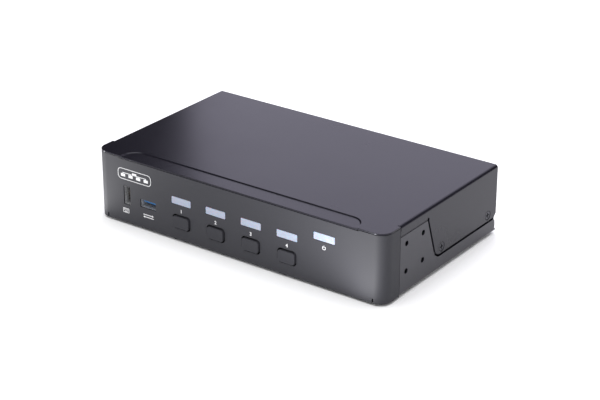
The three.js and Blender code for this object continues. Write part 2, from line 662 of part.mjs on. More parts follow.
// ---- boards and what stands on them ---------------------------------------------------------

const SINK = { x: 8, y: -6, w: 30, fins: 7, finT: 1.2, base: 2, height: 11, chip: 24, chipT: 1.4 };
const HEADER = { x: 0, y: 26, w: 60, d: 8 };
const RIBBON = { x: -20, w: 20, t: 0.6, bendR: 8, top: 30, end: -28 };
const HOST_CHIP = { size: 9, y: 36, t: 1 };
const VIDEO_CHIP = { size: 10, y: 34, t: 1 };
const COIL = { x: 80, y: 24, size: 10, t: 5 };
const CAPACITORS = { xs: [66, 77], y: 10, r: 4, t: 9 };

// A flat plate with holes for its screws, reaching from the given front to just inside the rear panel.
function boardPlate(front, z) {
  const [depth, y] = [BOARD_BACK - front, (BOARD_BACK + front) / 2];
  return prismZ(roundedRect(2 * BOARD_HALF_W, depth, BOARD_CORNER_R, 0, y), [z, z + BOARD], 3);
}

// A square part soldered to a board whose upper face is at z.
function soldered({ size, y, t }, x, z) {
  return box(around(x, size), around(y, size), [z - GAP, z + t]);
}

function screwHoles(places, z) {
  return places.map(({ x, y }) => turned(rod(POST.boreR, z - CUTTER, z + BOARD + CUTTER), 'z', [x, y, 0]));
}

function mainBoard() {
  const top = MAIN_BOARD_Z + BOARD;
  const chip = soldered({ size: SINK.chip, y: SINK.y, t: SINK.chipT }, SINK.x, top);
  const hostChips = hostColumns().map((x) => soldered(HOST_CHIP, x, top));
  const capacitors = CAPACITORS.xs.map((x) =>
    turned(rod(CAPACITORS.r, top - GAP, top + CAPACITORS.t), 'z', [x, CAPACITORS.y, 0], 12));
  const loaded = join(boardPlate(MAIN_BOARD_FRONT, MAIN_BOARD_Z), chip, ...hostChips, ...capacitors,
    soldered(COIL, COIL.x, top));
  return cut(loaded, ...screwHoles(postPlaces(), MAIN_BOARD_Z));
}

function videoBoard() {
  const chips = hostColumns().map((x) => soldered(VIDEO_CHIP, x, VIDEO_BOARD_Z + BOARD));
  const screwed = postPlaces().filter(({ rear }) => rear);
  return cut(join(boardPlate(VIDEO_BOARD_FRONT, VIDEO_BOARD_Z), ...chips),
    ...screwHoles(screwed, VIDEO_BOARD_Z));
}

function frontBoard() {
  const y = FRONT_BOARD_Y;
  const lamps = lensPlaces().map(({ x, z }) =>
    box(around(x, LAMP.w), [y - LAMP.t, y + GAP], around(z, LAMP.h)));
  return join(box(FRONT_BOARD.x, [y, y + BOARD], FRONT_BOARD.z), ...lamps);
}

function heatSink() {
  const z0 = MAIN_BOARD_Z + BOARD + SINK.chipT + GAP;
  const spacing = (SINK.w - SINK.finT) / (SINK.fins - 1);
  const base = box(around(SINK.x, SINK.w), around(SINK.y, SINK.w), [z0, z0 + SINK.base]);
  const fins = Array.from({ length: SINK.fins }, (_, n) =>
    box(around(SINK.x + (n - (SINK.fins - 1) / 2) * spacing, SINK.finT), around(SINK.y, SINK.w),
      [z0 + SINK.base - GAP, z0 + SINK.height]));
  return join(base, ...fins);
}

const stackHeader = () => box(around(HEADER.x, HEADER.w), around(HEADER.y, HEADER.d),
  [MAIN_BOARD_Z + BOARD + GAP, VIDEO_BOARD_Z - GAP]);

// Flat ribbon from the back of the front board, bent to lie on the main board.
function ribbonLink() {
  const { x, w, t, bendR, top, end } = RIBBON;
  const y = FRONT_BOARD_Y + BOARD + GAP;
  const low = MAIN_BOARD_Z + BOARD + GAP;
  const [cy, cz] = [y + bendR, low + bendR];
  const shape = new THREE.Shape();
  shape.absarc(cy, cz, bendR, Math.PI, 1.5 * Math.PI, false);
  shape.lineTo(end, low);
  shape.lineTo(end, low + t);
  shape.absarc(cy, cz, bendR - t, 1.5 * Math.PI, Math.PI, true);
  shape.lineTo(y + t, top);
  shape.lineTo(y, top);
  return prismX(shape, around(x, w), 6);
}

// ---- fasteners and feet ---------------------------------------------------------------------

const HEAD = { r: 2.8, rim: 1.2, crownR: 1.8, crown: 1.9 };
const SHANK_R = 1.4;
const COUNTERSUNK = { r: 2.7, face: -0.15, neck: -1.1, end: -6.4 };
const VIDEO_SCREW_REACH = 5;
const PILLAR_THREAD = 6;

// Countersunk screw in a cover dimple, its head just below the panel's face.
function coverScrew(side, y) {
  const { r, face, neck, end } = COUNTERSUNK;
  const profile = [[0, end], [SHANK_R, end], [SHANK_R, neck], [r, face], [0, face]];
  return turned(profile, side > 0 ? '+x' : '-x', [side * HALF_W, y, COVER_SCREWS.z]);
}

// Round-headed screw standing on a board: the head is above z and the shank reaches down to low.
function boardScrew({ x, y }, z, low) {
  const head = [[SHANK_R, z], [HEAD.r, z], [HEAD.r, z + HEAD.rim], [HEAD.crownR, z + HEAD.crown]];
  return turned([[0, low], [SHANK_R, low], ...head, [0, z + HEAD.crown]], 'z', [x, y, 0], 12);
}

// Threaded pillar that clamps the main board to the tray and carries the video board.
function boardPillar({ x, y }) {
  const foot = FLOOR + CUTTER;
  const low = MAIN_BOARD_Z + BOARD + GAP;
  const high = VIDEO_BOARD_Z - GAP;
  const profile = [[0, foot], [SHANK_R, foot], [SHANK_R, low], [POST.r, low], [POST.r, high], [0, high]];
  const bore = turned(rod(POST.boreR, high - PILLAR_THREAD, high + CUTTER), 'z', [x, y, 0], 12);
  return cut(turned(profile, 'z', [x, y, 0], 6), bore);
}

const FOOT = { x: 92, y: 47, r: 6.5, softR: 0.5 };

function foot(x, y) {
  const { r, softR } = FOOT;
  const high = BOTTOM - GAP;
  return turned([[0, 0], [r - softR, 0], [r, softR], [r, high], [0, high]], 'z', [x, y, 0]);
}

// ---- the whole object -----------------------------------------------------------------------

function casing() {
  return [
    toMesh('top_cover', topCover(), MATERIALS.coatedSteel),
    toMesh('base_tray', baseTray(), MATERIALS.coatedSteel),
    toMesh('rear_panel', rearPanel(), MATERIALS.coatedSteel),
    toMesh('front_bezel', frontBezel(), MATERIALS.mouldedPlastic),
    ...eachSide((side) => ['front', 'rear'].map((end) =>
      toMesh(`foot_${end}_${sideName(side)}`, foot(side * FOOT.x, end === 'front' ? -FOOT.y : FOOT.y),
        MATERIALS.rubber))),
    ...eachSide((side) => COVER_SCREWS.ys.map((y, n) =>
      toMesh(`cover_screw_${sideName(side)}_${n + 1}`, coverScrew(side, y), MATERIALS.fastener))),
  ];
}

function frontControls() {
  const channels = channelNumbers().flatMap((n) => [
    toMesh(`select_button_${n + 1}`, selectorButton(channelX(n)), MATERIALS.mouldedPlastic),
    toMesh(`button_plunger_${n + 1}`, switchPlunger(channelX(n)), MATERIALS.blackInsert),
    toMesh(`tact_switch_${n + 1}`, tactSwitch(channelX(n)), MATERIALS.blackInsert),
  ]);
  const lenses = lensPlaces().map(({ name, x, z }) =>
    toMesh(`light_window_${name}`, lightPipe(x, z), MATERIALS.lens));
  const sockets = FRONT_USB.flatMap((place) => [
    toMesh(`front_usb_shell_${place.name}`, usbShell(place), MATERIALS.socketSteel),
    toMesh(`front_usb_tongue_${place.name}`, usbTongue(place),
      place.upright ? MATERIALS.blackInsert : MATERIALS.blueInsert),
  ]);
  return [...channels, ...lenses, ...sockets, toMesh('front_board', frontBoard(), MATERIALS.board)];
}

function rearSockets() {
  const hosts = hostColumns().flatMap((x, n) => [
    toMesh(`host_video_socket_${n + 1}`, videoSocket(x), MATERIALS.socketSteel),
    toMesh(`host_usb_socket_${n + 1}`, usbSquareSocket(x), MATERIALS.socketSteel),
  ]);
  return [
    ...hosts,
    toMesh('console_video_socket', videoSocket(CONSOLE_X), MATERIALS.socketSteel),
    toMesh('console_usb_socket', usbStack(), MATERIALS.socketSteel),
    toMesh('microphone_jack', audioJack(AUDIO_X[0]), MATERIALS.blackInsert),
    toMesh('headphone_jack', audioJack(AUDIO_X[1]), MATERIALS.blackInsert),
    toMesh('power_inlet', powerInlet(), MATERIALS.blackInsert),
  ];
}

function boards() {
  const mainTop = MAIN_BOARD_Z + BOARD + GAP;
  const videoTop = VIDEO_BOARD_Z + BOARD + GAP;
  const fasteners = postPlaces().flatMap((place) => {
    if (!place.rear) {
      const screw = boardScrew(place, mainTop, FLOOR + CUTTER);
      return [toMesh(`main_board_screw_${place.name}`, screw, MATERIALS.fastener)];
    }
    const screw = boardScrew(place, videoTop, VIDEO_BOARD_Z - VIDEO_SCREW_REACH);
    return [
      toMesh(`board_pillar_${place.name}`, boardPillar(place), MATERIALS.brass),
      toMesh(`video_board_screw_${place.name}`, screw, MATERIALS.fastener),
    ];
  });
  return [
    toMesh('main_board', mainBoard(), MATERIALS.board),
    toMesh('video_board', videoBoard(), MATERIALS.board),
    toMesh('heat_sink', heatSink(), MATERIALS.aluminium),
    toMesh('board_stack_header', stackHeader(), MATERIALS.blackInsert),
    toMesh('ribbon_link', ribbonLink(), MATERIALS.ribbon),
    ...fasteners,
  ];
}

const kvmSwitch = new THREE.Group();
kvmSwitch.name = 'kvm_switch';
kvmSwitch.add(...casing(), ...frontControls(), ...rearSockets(), ...boards());

export default kvmSwitch;
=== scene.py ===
import math
from contextlib import contextmanager
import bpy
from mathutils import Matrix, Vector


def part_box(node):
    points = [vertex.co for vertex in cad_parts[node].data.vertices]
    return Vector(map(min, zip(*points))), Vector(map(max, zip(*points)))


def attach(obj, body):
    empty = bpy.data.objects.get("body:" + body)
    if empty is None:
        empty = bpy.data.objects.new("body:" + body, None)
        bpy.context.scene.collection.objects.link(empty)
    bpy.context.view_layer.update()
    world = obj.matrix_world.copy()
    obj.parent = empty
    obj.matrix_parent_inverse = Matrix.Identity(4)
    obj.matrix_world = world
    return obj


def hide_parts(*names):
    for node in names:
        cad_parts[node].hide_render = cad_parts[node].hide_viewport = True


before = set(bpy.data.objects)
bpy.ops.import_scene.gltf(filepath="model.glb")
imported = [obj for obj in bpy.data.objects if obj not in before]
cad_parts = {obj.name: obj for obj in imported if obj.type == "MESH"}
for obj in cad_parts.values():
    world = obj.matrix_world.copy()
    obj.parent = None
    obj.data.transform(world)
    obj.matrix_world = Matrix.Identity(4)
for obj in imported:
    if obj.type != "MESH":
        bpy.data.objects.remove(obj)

from types import SimpleNamespace

import bmesh
import bpy
from mathutils import Vector

bl_info = {
    "name": "Desktop KVM Switch",
    "version": (1, 0, 0),
    "blender": (4, 5, 0),
    "location": "3D View > Sidebar > KVM Switch",
    "description": "Builds the shells, controls, sockets and finishes of a four-computer KVM switch",
    "category": "Add Mesh",
}

MM = 0.001
GAP = 0.3 * MM
CUTTER = 1.0 * MM
MERGE_REACH = 0.001 * MM
FLAT_ANGLE = math.radians(0.5)
# Cosine above which a face or an edge counts as lying along an axis.
ALIGNED = 0.999
FOLD_STEPS = 8
CASE = "case"
CHANNELS = range(1, 5)
WINDOWS = ["1", "2", "3", "4", "power"]
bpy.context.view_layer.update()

COVER_LOW, COVER_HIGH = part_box("top_cover")
TRAY_LOW, TRAY_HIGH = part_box("base_tray")
BEZEL_LOW, BEZEL_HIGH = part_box("front_bezel")
REAR_LOW, REAR_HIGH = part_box("rear_panel")
MAIN_BOARD_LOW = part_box("main_board")[0]

SIDE_X = COVER_HIGH.x
FRONT_Y = BEZEL_LOW.y
BACK_Y = COVER_HIGH.y
BOTTOM_Z = TRAY_LOW.z
TOP_Z = COVER_HIGH.z
TAB_TOP_Z = TRAY_HIGH.z
SEAM_FRONT_Y = BEZEL_HIGH.y
SEAM_BACK_Y = BEZEL_HIGH.y + GAP


# ---- sizes and colours that a user would change ----------------------------------------------

def in_mm(**values):
    """Named lengths, given in millimetres."""
    return SimpleNamespace(**{name: value * MM for name, value in values.items()})


def length(name, description, millimetres):
    return bpy.props.FloatProperty(
        name=name, description=description, default=millimetres * MM,
        min=0.0, precision=5, subtype="DISTANCE", unit="LENGTH")


def tint(name, description, rgb):
    return bpy.props.FloatVectorProperty(
        name=name, description=description, default=rgb, size=3, min=0.0, max=1.0, subtype="COLOR")


def share(name, description, value):
    return bpy.props.FloatProperty(
        name=name, description=description, default=value, min=0.0, max=1.0, subtype="FACTOR")


class KvmCaseSizes(bpy.types.PropertyGroup):
    sheet: length("Sheet", "Thickness of the folded steel", 1.0)
    cover_bend: length("Cover bend", "Outer radius of the cover's side folds", 2.0)
    tray_bend: length("Tray bend", "Outer radius of the tray's folds", 1.6)
    corner: length("Bezel corner", "Radius of the upright front corners", 8.0)
    wall: length("Bezel wall", "Thickness of the moulded front", 2.0)
    slot: length("Slot", "Open slot between the cover's side panel and the tray", 1.5)
    strip_gap: length("Strip gap", "Gap above the tray's tab", 0.45)
    relief: length("Relief", "Radius of the round relief at the top of the slot", 1.1)
    tab_back: length("Tab back", "From the case's middle forward to the tab's upper rear corner", 17.9)
    tab_foot: length("Tab foot", "Distance from the case's middle forward to the foot of the tab", 8.2)
    tab_round: length("Tab rounding", "Radius where the tab runs into the low strip", 5.5)
    strip_top: length("Strip top", "Height of the tray's low side strip", 10.3)
    strip_round: length("Strip rounding", "Radius of the strip's upper rear corner", 2.0)
    strip_cut: length("Strip cut", "How far the strip stops short of the case's back", 1.2)
    rear_flange_cut: length("Rear flange cut", "How far the flange stops short of the panel's ends", 6.0)
    rear_chamfer: length("Rear chamfer", "Corner cut off the cover's lower rear corners", 2.3)
    recess_half: length("Recess half length", "Half the length of the finger recess", 89.0)
    recess_depth: length("Recess reach", "Distance that the finger recess reaches back", 12.0)
    recess_corner: length("Recess corner", "Corner radius of the finger recess", 9.5)
    recess_press: length("Recess press", "Depth that the finger recess is pressed in", 0.6)
    recess_slope: length("Recess slope", "Width of the recess's sloping step", 0.7)
    ear_pitch: length("Ear hole pitch", "Spacing of the four plain holes in each tab", 17.8)
    ear_back: length("Ear hole place", "Distance from the case's middle forward to the holes' centre", 31.3)
    ear_height: length("Ear hole height", "Height of the holes' centre", 24.4)
    ear_radius: length("Ear hole radius", "Radius of the plain holes", 1.75)
    edge: length("Edge softness", "Rounding of the cut sheet's edges", 0.16)


class KvmFrontSizes(bpy.types.PropertyGroup):
    window_width: length("Window width", "Width of a status window", 15.0)
    window_height: length("Window height", "Height of a status window", 4.7)
    window_corner: length("Window corner", "Corner radius of a status window", 0.6)
    cap_width: length("Cap width", "Width of a selector button", 12.2)
    cap_height: length("Cap height", "Height of a selector button", 7.9)
    cap_corner: length("Cap corner", "Corner radius of a selector button", 1.7)
    cap_gap: length("Cap gap", "Clearance round a selector button", 0.9)
    flange_lip: length("Flange lip", "How far the flange behind a face reaches past it", 1.6)
    usb_lip: length("USB lip", "How far the bezel covers the rim of a front USB shell", 0.25)
    notch: length("Notch", "Width of the notches in the bezel's lower edge", 1.0)
    notch_height: length("Notch height", "Height of the notches in the bezel's lower edge", 3.0)
    digit: length("Numeral height", "Height of the printed numerals", 2.5)
    ink: length("Ink", "Thickness of the printed marks", 0.04)


class KvmFinishes(bpy.types.PropertyGroup):
    coat: tint("Coated steel", "Satin powder coat of the cover and tray", (0.0098, 0.0092, 0.0135))
    bezel: tint("Bezel", "Moulded front", (0.0110, 0.0105, 0.0220))
    window: tint("Windows", "Frosted status windows", (0.36, 0.40, 0.50))
    ink: tint("Ink", "Printed marks", (0.78, 0.78, 0.80))
    blue: tint("Blue insert", "Tongue of the fast USB socket", (0.06, 0.27, 0.58))
    board: tint("Solder mask", "Circuit boards", (0.010, 0.085, 0.040))
    floor: tint("Floor", "Pale studio floor", (0.92, 0.92, 0.93))
    wear: share("Wear", "How far the edges are rubbed lighter", 0.35)


class KvmStageSizes(bpy.types.PropertyGroup):
    azimuth: bpy.props.FloatProperty(
        name="Azimuth", description="Turn of the camera round the case",
        default=math.radians(35.957), subtype="ANGLE", unit="ROTATION")
    elevation: bpy.props.FloatProperty(
        name="Elevation", description="Height of the camera above the horizon",
        default=math.radians(24.557), subtype="ANGLE", unit="ROTATION")
    distance: length("Distance", "Distance from the camera to its aim", 1110.1)
    lens: bpy.props.FloatProperty(
        name="Lens", description="Focal length on a 36 mm sensor", default=106.05, unit="CAMERA")
    floor: length("Floor", "Width of the studio floor", 12000.0)


# ---- modelling helpers -----------------------------------------------------------------------

def deselect():
    if bpy.context.mode != "OBJECT":
        bpy.ops.object.mode_set(mode="OBJECT")
    bpy.ops.object.select_all(action="DESELECT")


def take(*pieces):
    deselect()
    for piece in pieces:
        piece.select_set(True)
    bpy.context.view_layer.objects.active = pieces[0]


def settle(piece):
    take(piece)
    bpy.ops.object.transform_apply(location=True, rotation=True, scale=True)


def named(name):
    piece = bpy.context.object
    piece.name = name
    piece.data.name = name
    piece.data.materials.clear()
    settle(piece)
    return piece


def block(name, low, high):
    low, high = Vector(low), Vector(high)
    deselect()
    bpy.ops.mesh.primitive_cube_add(size=1.0, location=(low + high) / 2, scale=high - low)
    return named(name)


TURNS = {
    "X": (0.0, math.pi / 2, 0.0),
    "-X": (0.0, -math.pi / 2, 0.0),
    "Y": (-math.pi / 2, 0.0, 0.0),
    "Z": (0.0, 0.0, 0.0),
}


def rod(name, axis, centre, radius, depth, sides=32, end_radius=None):
    """A round bar along an axis, or a cone whose far end has another radius."""
    deselect()
    bpy.ops.mesh.primitive_cone_add(
        vertices=sides, radius1=radius, radius2=radius if end_radius is None else end_radius,
        depth=depth, location=centre, rotation=TURNS[axis])
    return named(name)


@contextmanager
def editing(piece):
    take(piece)
    bpy.ops.object.mode_set(mode="EDIT")
    bpy.ops.mesh.select_all(action="DESELECT")
    yield
    bpy.ops.object.mode_set(mode="OBJECT")


def pick(piece, kind, test):
    """Selects the vertices, edges or faces that pass a test, in edit mode."""
    bpy.ops.mesh.select_mode(type=kind)
    bpy.ops.mesh.select_all(action="DESELECT")
    shape = bmesh.from_edit_mesh(piece.data)
    for item in {"VERT": shape.verts, "EDGE": shape.edges, "FACE": shape.faces}[kind]:
        if test(item):
            item.select_set(True)
    bmesh.update_edit_mesh(piece.data)


def near(value, target, reach=0.02 * MM):
    return abs(value - target) < reach


def middle(item):
    points = [vertex.co for vertex in item.verts]
    return sum(points, Vector()) / len(points)


def runs_along(edge, axis):
    run = edge.verts[1].co - edge.verts[0].co
    return abs(run[axis]) > ALIGNED * run.length


def faces_out(face, axis, sign):
    return face.normal[axis] * sign > ALIGNED


def faces_along(face, axis):
    return abs(face.normal[axis]) > ALIGNED


def remove_faces(piece, test):
    with editing(piece):
        pick(piece, "FACE", test)
        bpy.ops.mesh.delete(type="FACE")


def bevel_picked(radius, segments):
    bpy.ops.mesh.bevel(offset=radius, segments=segments, affect="EDGES", profile=0.5)


def bevel_all(piece, radius, segments):
    with editing(piece):
        bpy.ops.mesh.select_all(action="SELECT")
        bevel_picked(radius, segments)


def round_edges(piece, test, radius, segments):
    with editing(piece):
        pick(piece, "EDGE", test)
        bevel_picked(radius, segments)


def round_mouth(piece, y, radius, segments):
    """Rounds the edges that lie in one plane across the case."""
    round_edges(piece, lambda edge: all(near(vertex.co.y, y) for vertex in edge.verts), radius, segments)


def round_upright(piece, axis, radius, segments, test=lambda edge: True):
    """Rounds the edges that run along one axis."""
    round_edges(piece, lambda edge: runs_along(edge, axis) and test(edge), radius, segments)


def shift_picked(offset):
    bpy.ops.transform.translate(value=offset)


def finish_modifier(piece, modifier):
    take(piece)
    bpy.ops.object.modifier_apply(modifier=modifier.name)


def combine(piece, tool, operation):
    """Joins, cuts or keeps what two closed shapes share. The tool is used up."""
    modifier = piece.modifiers.new("combine", "BOOLEAN")
    modifier.operation = operation
    modifier.solver = "EXACT"
    modifier.object = tool
    finish_modifier(piece, modifier)
    bpy.data.objects.remove(tool)
    return piece


def gather(tools):
    """Several separate shapes as one tool."""
    tools = list(tools)
    if len(tools) > 1:
        take(*tools)
        bpy.ops.object.join()
    return tools[0]


def cut(piece, *tools):
    return combine(piece, gather(tools), "DIFFERENCE")


def weld(piece, *tools):
    return combine(piece, gather(tools), "UNION")


def thicken(piece, thickness):
    modifier = piece.modifiers.new("wall", "SOLIDIFY")
    modifier.thickness = thickness
    modifier.offset = -1.0
    modifier.use_even_offset = True
    finish_modifier(piece, modifier)


def merge_points():
    bpy.ops.mesh.select_all(action="SELECT")
    bpy.ops.mesh.remove_doubles(threshold=MERGE_REACH)


def tidy_faces(piece):
    """Merges doubled points and the flat faces that the joins left behind."""
    with editing(piece):
        merge_points()
        bpy.ops.mesh.dissolve_limited(angle_limit=FLAT_ANGLE)


def soften(piece, width, segments=2, angle=25.0):
    """Rounds every crisp edge a little, and evens the shading of the flat faces."""
    tidy_faces(piece)
    modifier = piece.modifiers.new("edges", "BEVEL")
    modifier.width = width
    modifier.segments = segments
    modifier.limit_method = "ANGLE"
    modifier.angle_limit = math.radians(angle)
    finish_modifier(piece, modifier)
    smooth(piece)


def smooth(piece, angle=40.0):
    take(piece)
    bpy.ops.object.shade_smooth_by_angle(angle=math.radians(angle))
    modifier = piece.modifiers.new("shading", "WEIGHTED_NORMAL")
    modifier.keep_sharp = True
    finish_modifier(piece, modifier)


def copy_of(piece, name, offset):
    """A copy with its own mesh, moved by an offset."""
    twin = piece.copy()
    twin.data = piece.data.copy()
    twin.name = name
    twin.data.name = name
    bpy.context.collection.objects.link(twin)
    twin.location = offset
    settle(twin)
    return twin


def hand_over(piece, finish, body, *nodes):
    """Gives a finished piece its material and body, and hides the CAD nodes that it stands for."""
    piece.data.materials.clear()
    piece.data.materials.append(material(finish))
    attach(piece, body)
    if nodes:
        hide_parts(*nodes)
    return piece


def centre_of(node):
    low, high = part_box(node)
    return (low + high) / 2


# ---- shader groups ---------------------------------------------------------------------------

def add_node(tree, kind, values=None, **settings):
    node = tree.nodes.new(kind)
    for name, value in settings.items():
        setattr(node, name, value)
    for socket, value in (values or {}).items():
        node.inputs[socket].default_value = value
    return node


def new_group(name, inputs, outputs):
    tree = bpy.data.node_groups.new(name, "ShaderNodeTree")
    for label, value in inputs.items():
        socket = tree.interface.new_socket(name=label, in_out="INPUT", socket_type="NodeSocketFloat")
        socket.default_value = value
    for label in outputs:
        tree.interface.new_socket(name=label, in_out="OUTPUT", socket_type="NodeSocketFloat")
    return tree, tree.nodes.new("NodeGroupInput"), tree.nodes.new("NodeGroupOutput")


def object_place(tree):
    return tree.nodes.new("ShaderNodeTexCoord").outputs["Object"]


def grain_group():
    """Fine cellular grain and a broader orange peel, as one height, with a slow drift of tone."""
    tree, given, result = new_group(
        "surface_grain", {"Grain scale": 900.0, "Peel scale": 180.0, "Peel share": 0.5}, ["Height", "Drift"])
    place = object_place(tree)
    grain = add_node(tree, "ShaderNodeTexNoise", {"Detail": 3.0, "Roughness": 0.65})
    peel = add_node(tree, "ShaderNodeTexNoise", {"Detail": 1.0, "Roughness": 0.4})
    drift = add_node(tree, "ShaderNodeTexNoise", {"Scale": 14.0, "Detail": 4.0, "Roughness": 0.6})
    blend = add_node(tree, "ShaderNodeMix")
    for noise in (grain, peel, drift):
        tree.links.new(place, noise.inputs["Vector"])
    tree.links.new(given.outputs["Grain scale"], grain.inputs["Scale"])
    tree.links.new(given.outputs["Peel scale"], peel.inputs["Scale"])
    tree.links.new(given.outputs["Peel share"], blend.inputs["Factor"])
    tree.links.new(grain.outputs["Fac"], blend.inputs["A"])
    tree.links.new(peel.outputs["Fac"], blend.inputs["B"])
    tree.links.new(blend.outputs["Result"], result.inputs["Height"])
    tree.links.new(drift.outputs["Fac"], result.inputs["Drift"])
    return tree


def wear_group():
    """A mask of the rubbed edges: where the rounded normal leaves the real one, broken up by noise."""
    tree, given, result = new_group("edge_wear", {"Radius": 0.4 * MM, "Amount": 0.5}, ["Mask"])
    rounded = add_node(tree, "ShaderNodeBevel", samples=6)
    real = add_node(tree, "ShaderNodeNewGeometry")
    facing = add_node(tree, "ShaderNodeVectorMath", operation="DOT_PRODUCT")
    edge = add_node(tree, "ShaderNodeMapRange", {"From Min": 0.995, "From Max": 0.90})
    noise = add_node(tree, "ShaderNodeTexNoise", {"Scale": 160.0, "Detail": 5.0, "Roughness": 0.7})
    broken = add_node(tree, "ShaderNodeMapRange", {"From Min": 0.42, "From Max": 0.62})
    both = add_node(tree, "ShaderNodeMath", operation="MULTIPLY")
    scaled = add_node(tree, "ShaderNodeMath", operation="MULTIPLY")
    tree.links.new(object_place(tree), noise.inputs["Vector"])
    tree.links.new(given.outputs["Radius"], rounded.inputs["Radius"])
    tree.links.new(rounded.outputs["Normal"], facing.inputs[0])
    tree.links.new(real.outputs["Normal"], facing.inputs[1])
    tree.links.new(facing.outputs["Value"], edge.inputs["Value"])
    tree.links.new(noise.outputs["Fac"], broken.inputs["Value"])
    tree.links.new(edge.outputs["Result"], both.inputs[0])
    tree.links.new(broken.outputs["Result"], both.inputs[1])
    tree.links.new(both.outputs["Value"], scaled.inputs[0])
    tree.links.new(given.outputs["Amount"], scaled.inputs[1])
    tree.links.new(scaled.outputs["Value"], result.inputs["Mask"])
    return tree


def brushed_group():
    """Fine lines along Y, as on drawn and rolled metal."""
    tree, given, result = new_group("rolled_lines", {"Across": 2400.0, "Along": 60.0}, ["Lines"])
    stretch = add_node(tree, "ShaderNodeCombineXYZ")
    scaled = add_node(tree, "ShaderNodeVectorMath", operation="MULTIPLY")
    noise = add_node(tree, "ShaderNodeTexNoise", {"Scale": 1.0, "Detail": 2.0})
    tree.links.new(given.outputs["Across"], stretch.inputs["X"])
    tree.links.new(given.outputs["Along"], stretch.inputs["Y"])
    tree.links.new(given.outputs["Across"], stretch.inputs["Z"])
    tree.links.new(object_place(tree), scaled.inputs[0])
    tree.links.new(stretch.outputs["Vector"], scaled.inputs[1])
    tree.links.new(scaled.outputs["Vector"], noise.inputs["Vector"])
    tree.links.new(noise.outputs["Fac"], result.inputs["Lines"])
    return tree


def shared_group(name, make):
    return bpy.data.node_groups.get(name) or make()


def place_group(tree, group, values):
    node = add_node(tree, "ShaderNodeGroup", node_tree=group)
    for socket, value in values.items():
        node.inputs[socket].default_value = value
    return node


# ---- materials -------------------------------------------------------------------------------


# Tones as shares of a finish's own colour, and how far its roughness drifts.
DARK_TONE = 0.90
LIGHT_TONE = 1.10
SPECK_TONE = 1.5
SPECK_SHARE = 0.35
RUBBED_TONE = 4.0
ROUGH_DRIFT = 0.03


def shader(name, **constants):
    """A new material with its Principled shader, whose constant sockets are set directly."""
    made = bpy.data.materials.new(name)
    made.use_nodes = True
    tree = made.node_tree
    surface = tree.nodes["Principled BSDF"]
    for socket, value in constants.items():
        surface.inputs[socket.replace("_", " ")].default_value = value
    return made, tree, surface


def ranged(tree, value, low, high, start=0.3, end=0.7):
    limits = {"From Min": start, "From Max": end, "To Min": low, "To Max": high}
    node = add_node(tree, "ShaderNodeMapRange", limits)
    tree.links.new(value, node.inputs["Value"])
    return node.outputs["Result"]


def mixed(tree, factor, first, second):
    """Blends two colours. Each is a colour or another node's output."""
    node = add_node(tree, "ShaderNodeMix", data_type="RGBA")
    tree.links.new(factor, node.inputs["Factor"])
    for socket, colour in ((node.inputs[6], first), (node.inputs[7], second)):
        if isinstance(colour, bpy.types.NodeSocket):
            tree.links.new(colour, socket)
        else:
            socket.default_value = (*colour, 1.0)
    return node.outputs[2]


def bumped(tree, height, strength, distance):
    node = add_node(tree, "ShaderNodeBump", {"Strength": strength, "Distance": distance})
    tree.links.new(height, node.inputs["Height"])
    return node.outputs["Normal"]


def scaled_colour(rgb, factor):
    return tuple(min(1.0, channel * factor) for channel in rgb)


def coated(name, rgb, rough, grain, peel, depth, wear, **constants):
    """Satin coat or moulded plastic: drifting tone, grain in the height and lighter rubbed edges."""
    made, tree, surface = shader(name, **constants)
    grained = place_group(tree, shared_group("surface_grain", grain_group),
                          {"Grain scale": grain, "Peel scale": peel, "Peel share": 0.4})
    worn = place_group(tree, shared_group("edge_wear", wear_group), {"Radius": 0.35 * MM, "Amount": wear})
    drift = ranged(tree, grained.outputs["Drift"], 0.0, 1.0)
    body = mixed(tree, drift, scaled_colour(rgb, DARK_TONE), scaled_colour(rgb, LIGHT_TONE))
    specks = ranged(tree, grained.outputs["Height"], 0.0, SPECK_SHARE)
    speckled = mixed(tree, specks, body, scaled_colour(rgb, SPECK_TONE))
    rubbed = mixed(tree, worn.outputs["Mask"], speckled, scaled_colour(rgb, RUBBED_TONE))
    roughness = ranged(tree, grained.outputs["Drift"], rough - ROUGH_DRIFT, rough + ROUGH_DRIFT)
    tree.links.new(rubbed, surface.inputs["Base Color"])
    tree.links.new(roughness, surface.inputs["Roughness"])
    tree.links.new(bumped(tree, grained.outputs["Height"], 0.35, depth), surface.inputs["Normal"])
    return made


def plain_metal(name, rgb, rough, across=2400.0, along=60.0, metallic=1.0):
    """Bare or plated metal with rolled lines that vary its tone and roughness."""
    made, tree, surface = shader(name, Metallic=metallic)
    lines = place_group(tree, shared_group("rolled_lines", brushed_group),
                        {"Across": across, "Along": along})
    value = lines.outputs["Lines"]
    tree.links.new(mixed(tree, ranged(tree, value, 0.0, 1.0), scaled_colour(rgb, 0.85), rgb),
                   surface.inputs["Base Color"])
    tree.links.new(ranged(tree, value, rough - 0.06, rough + 0.08), surface.inputs["Roughness"])
    tree.links.new(bumped(tree, value, 0.15, 0.02 * MM), surface.inputs["Normal"])
    return made


def frosted(name, rgb):
    """Frosted light window: milky, faintly cloudy, with a fine matt tooth."""
    made, tree, surface = shader(name, Subsurface_Weight=0.25, Subsurface_Scale=1.5 * MM, Roughness=0.45)
    grained = place_group(tree, shared_group("surface_grain", grain_group),
                          {"Grain scale": 1500.0, "Peel scale": 260.0, "Peel share": 0.5})
    clouded = mixed(tree, ranged(tree, grained.outputs["Height"], 0.0, 1.0), scaled_colour(rgb, 0.94), rgb)
    tree.links.new(clouded, surface.inputs["Base Color"])
    tree.links.new(bumped(tree, grained.outputs["Height"], 0.15, 0.02 * MM), surface.inputs["Normal"])
    return made


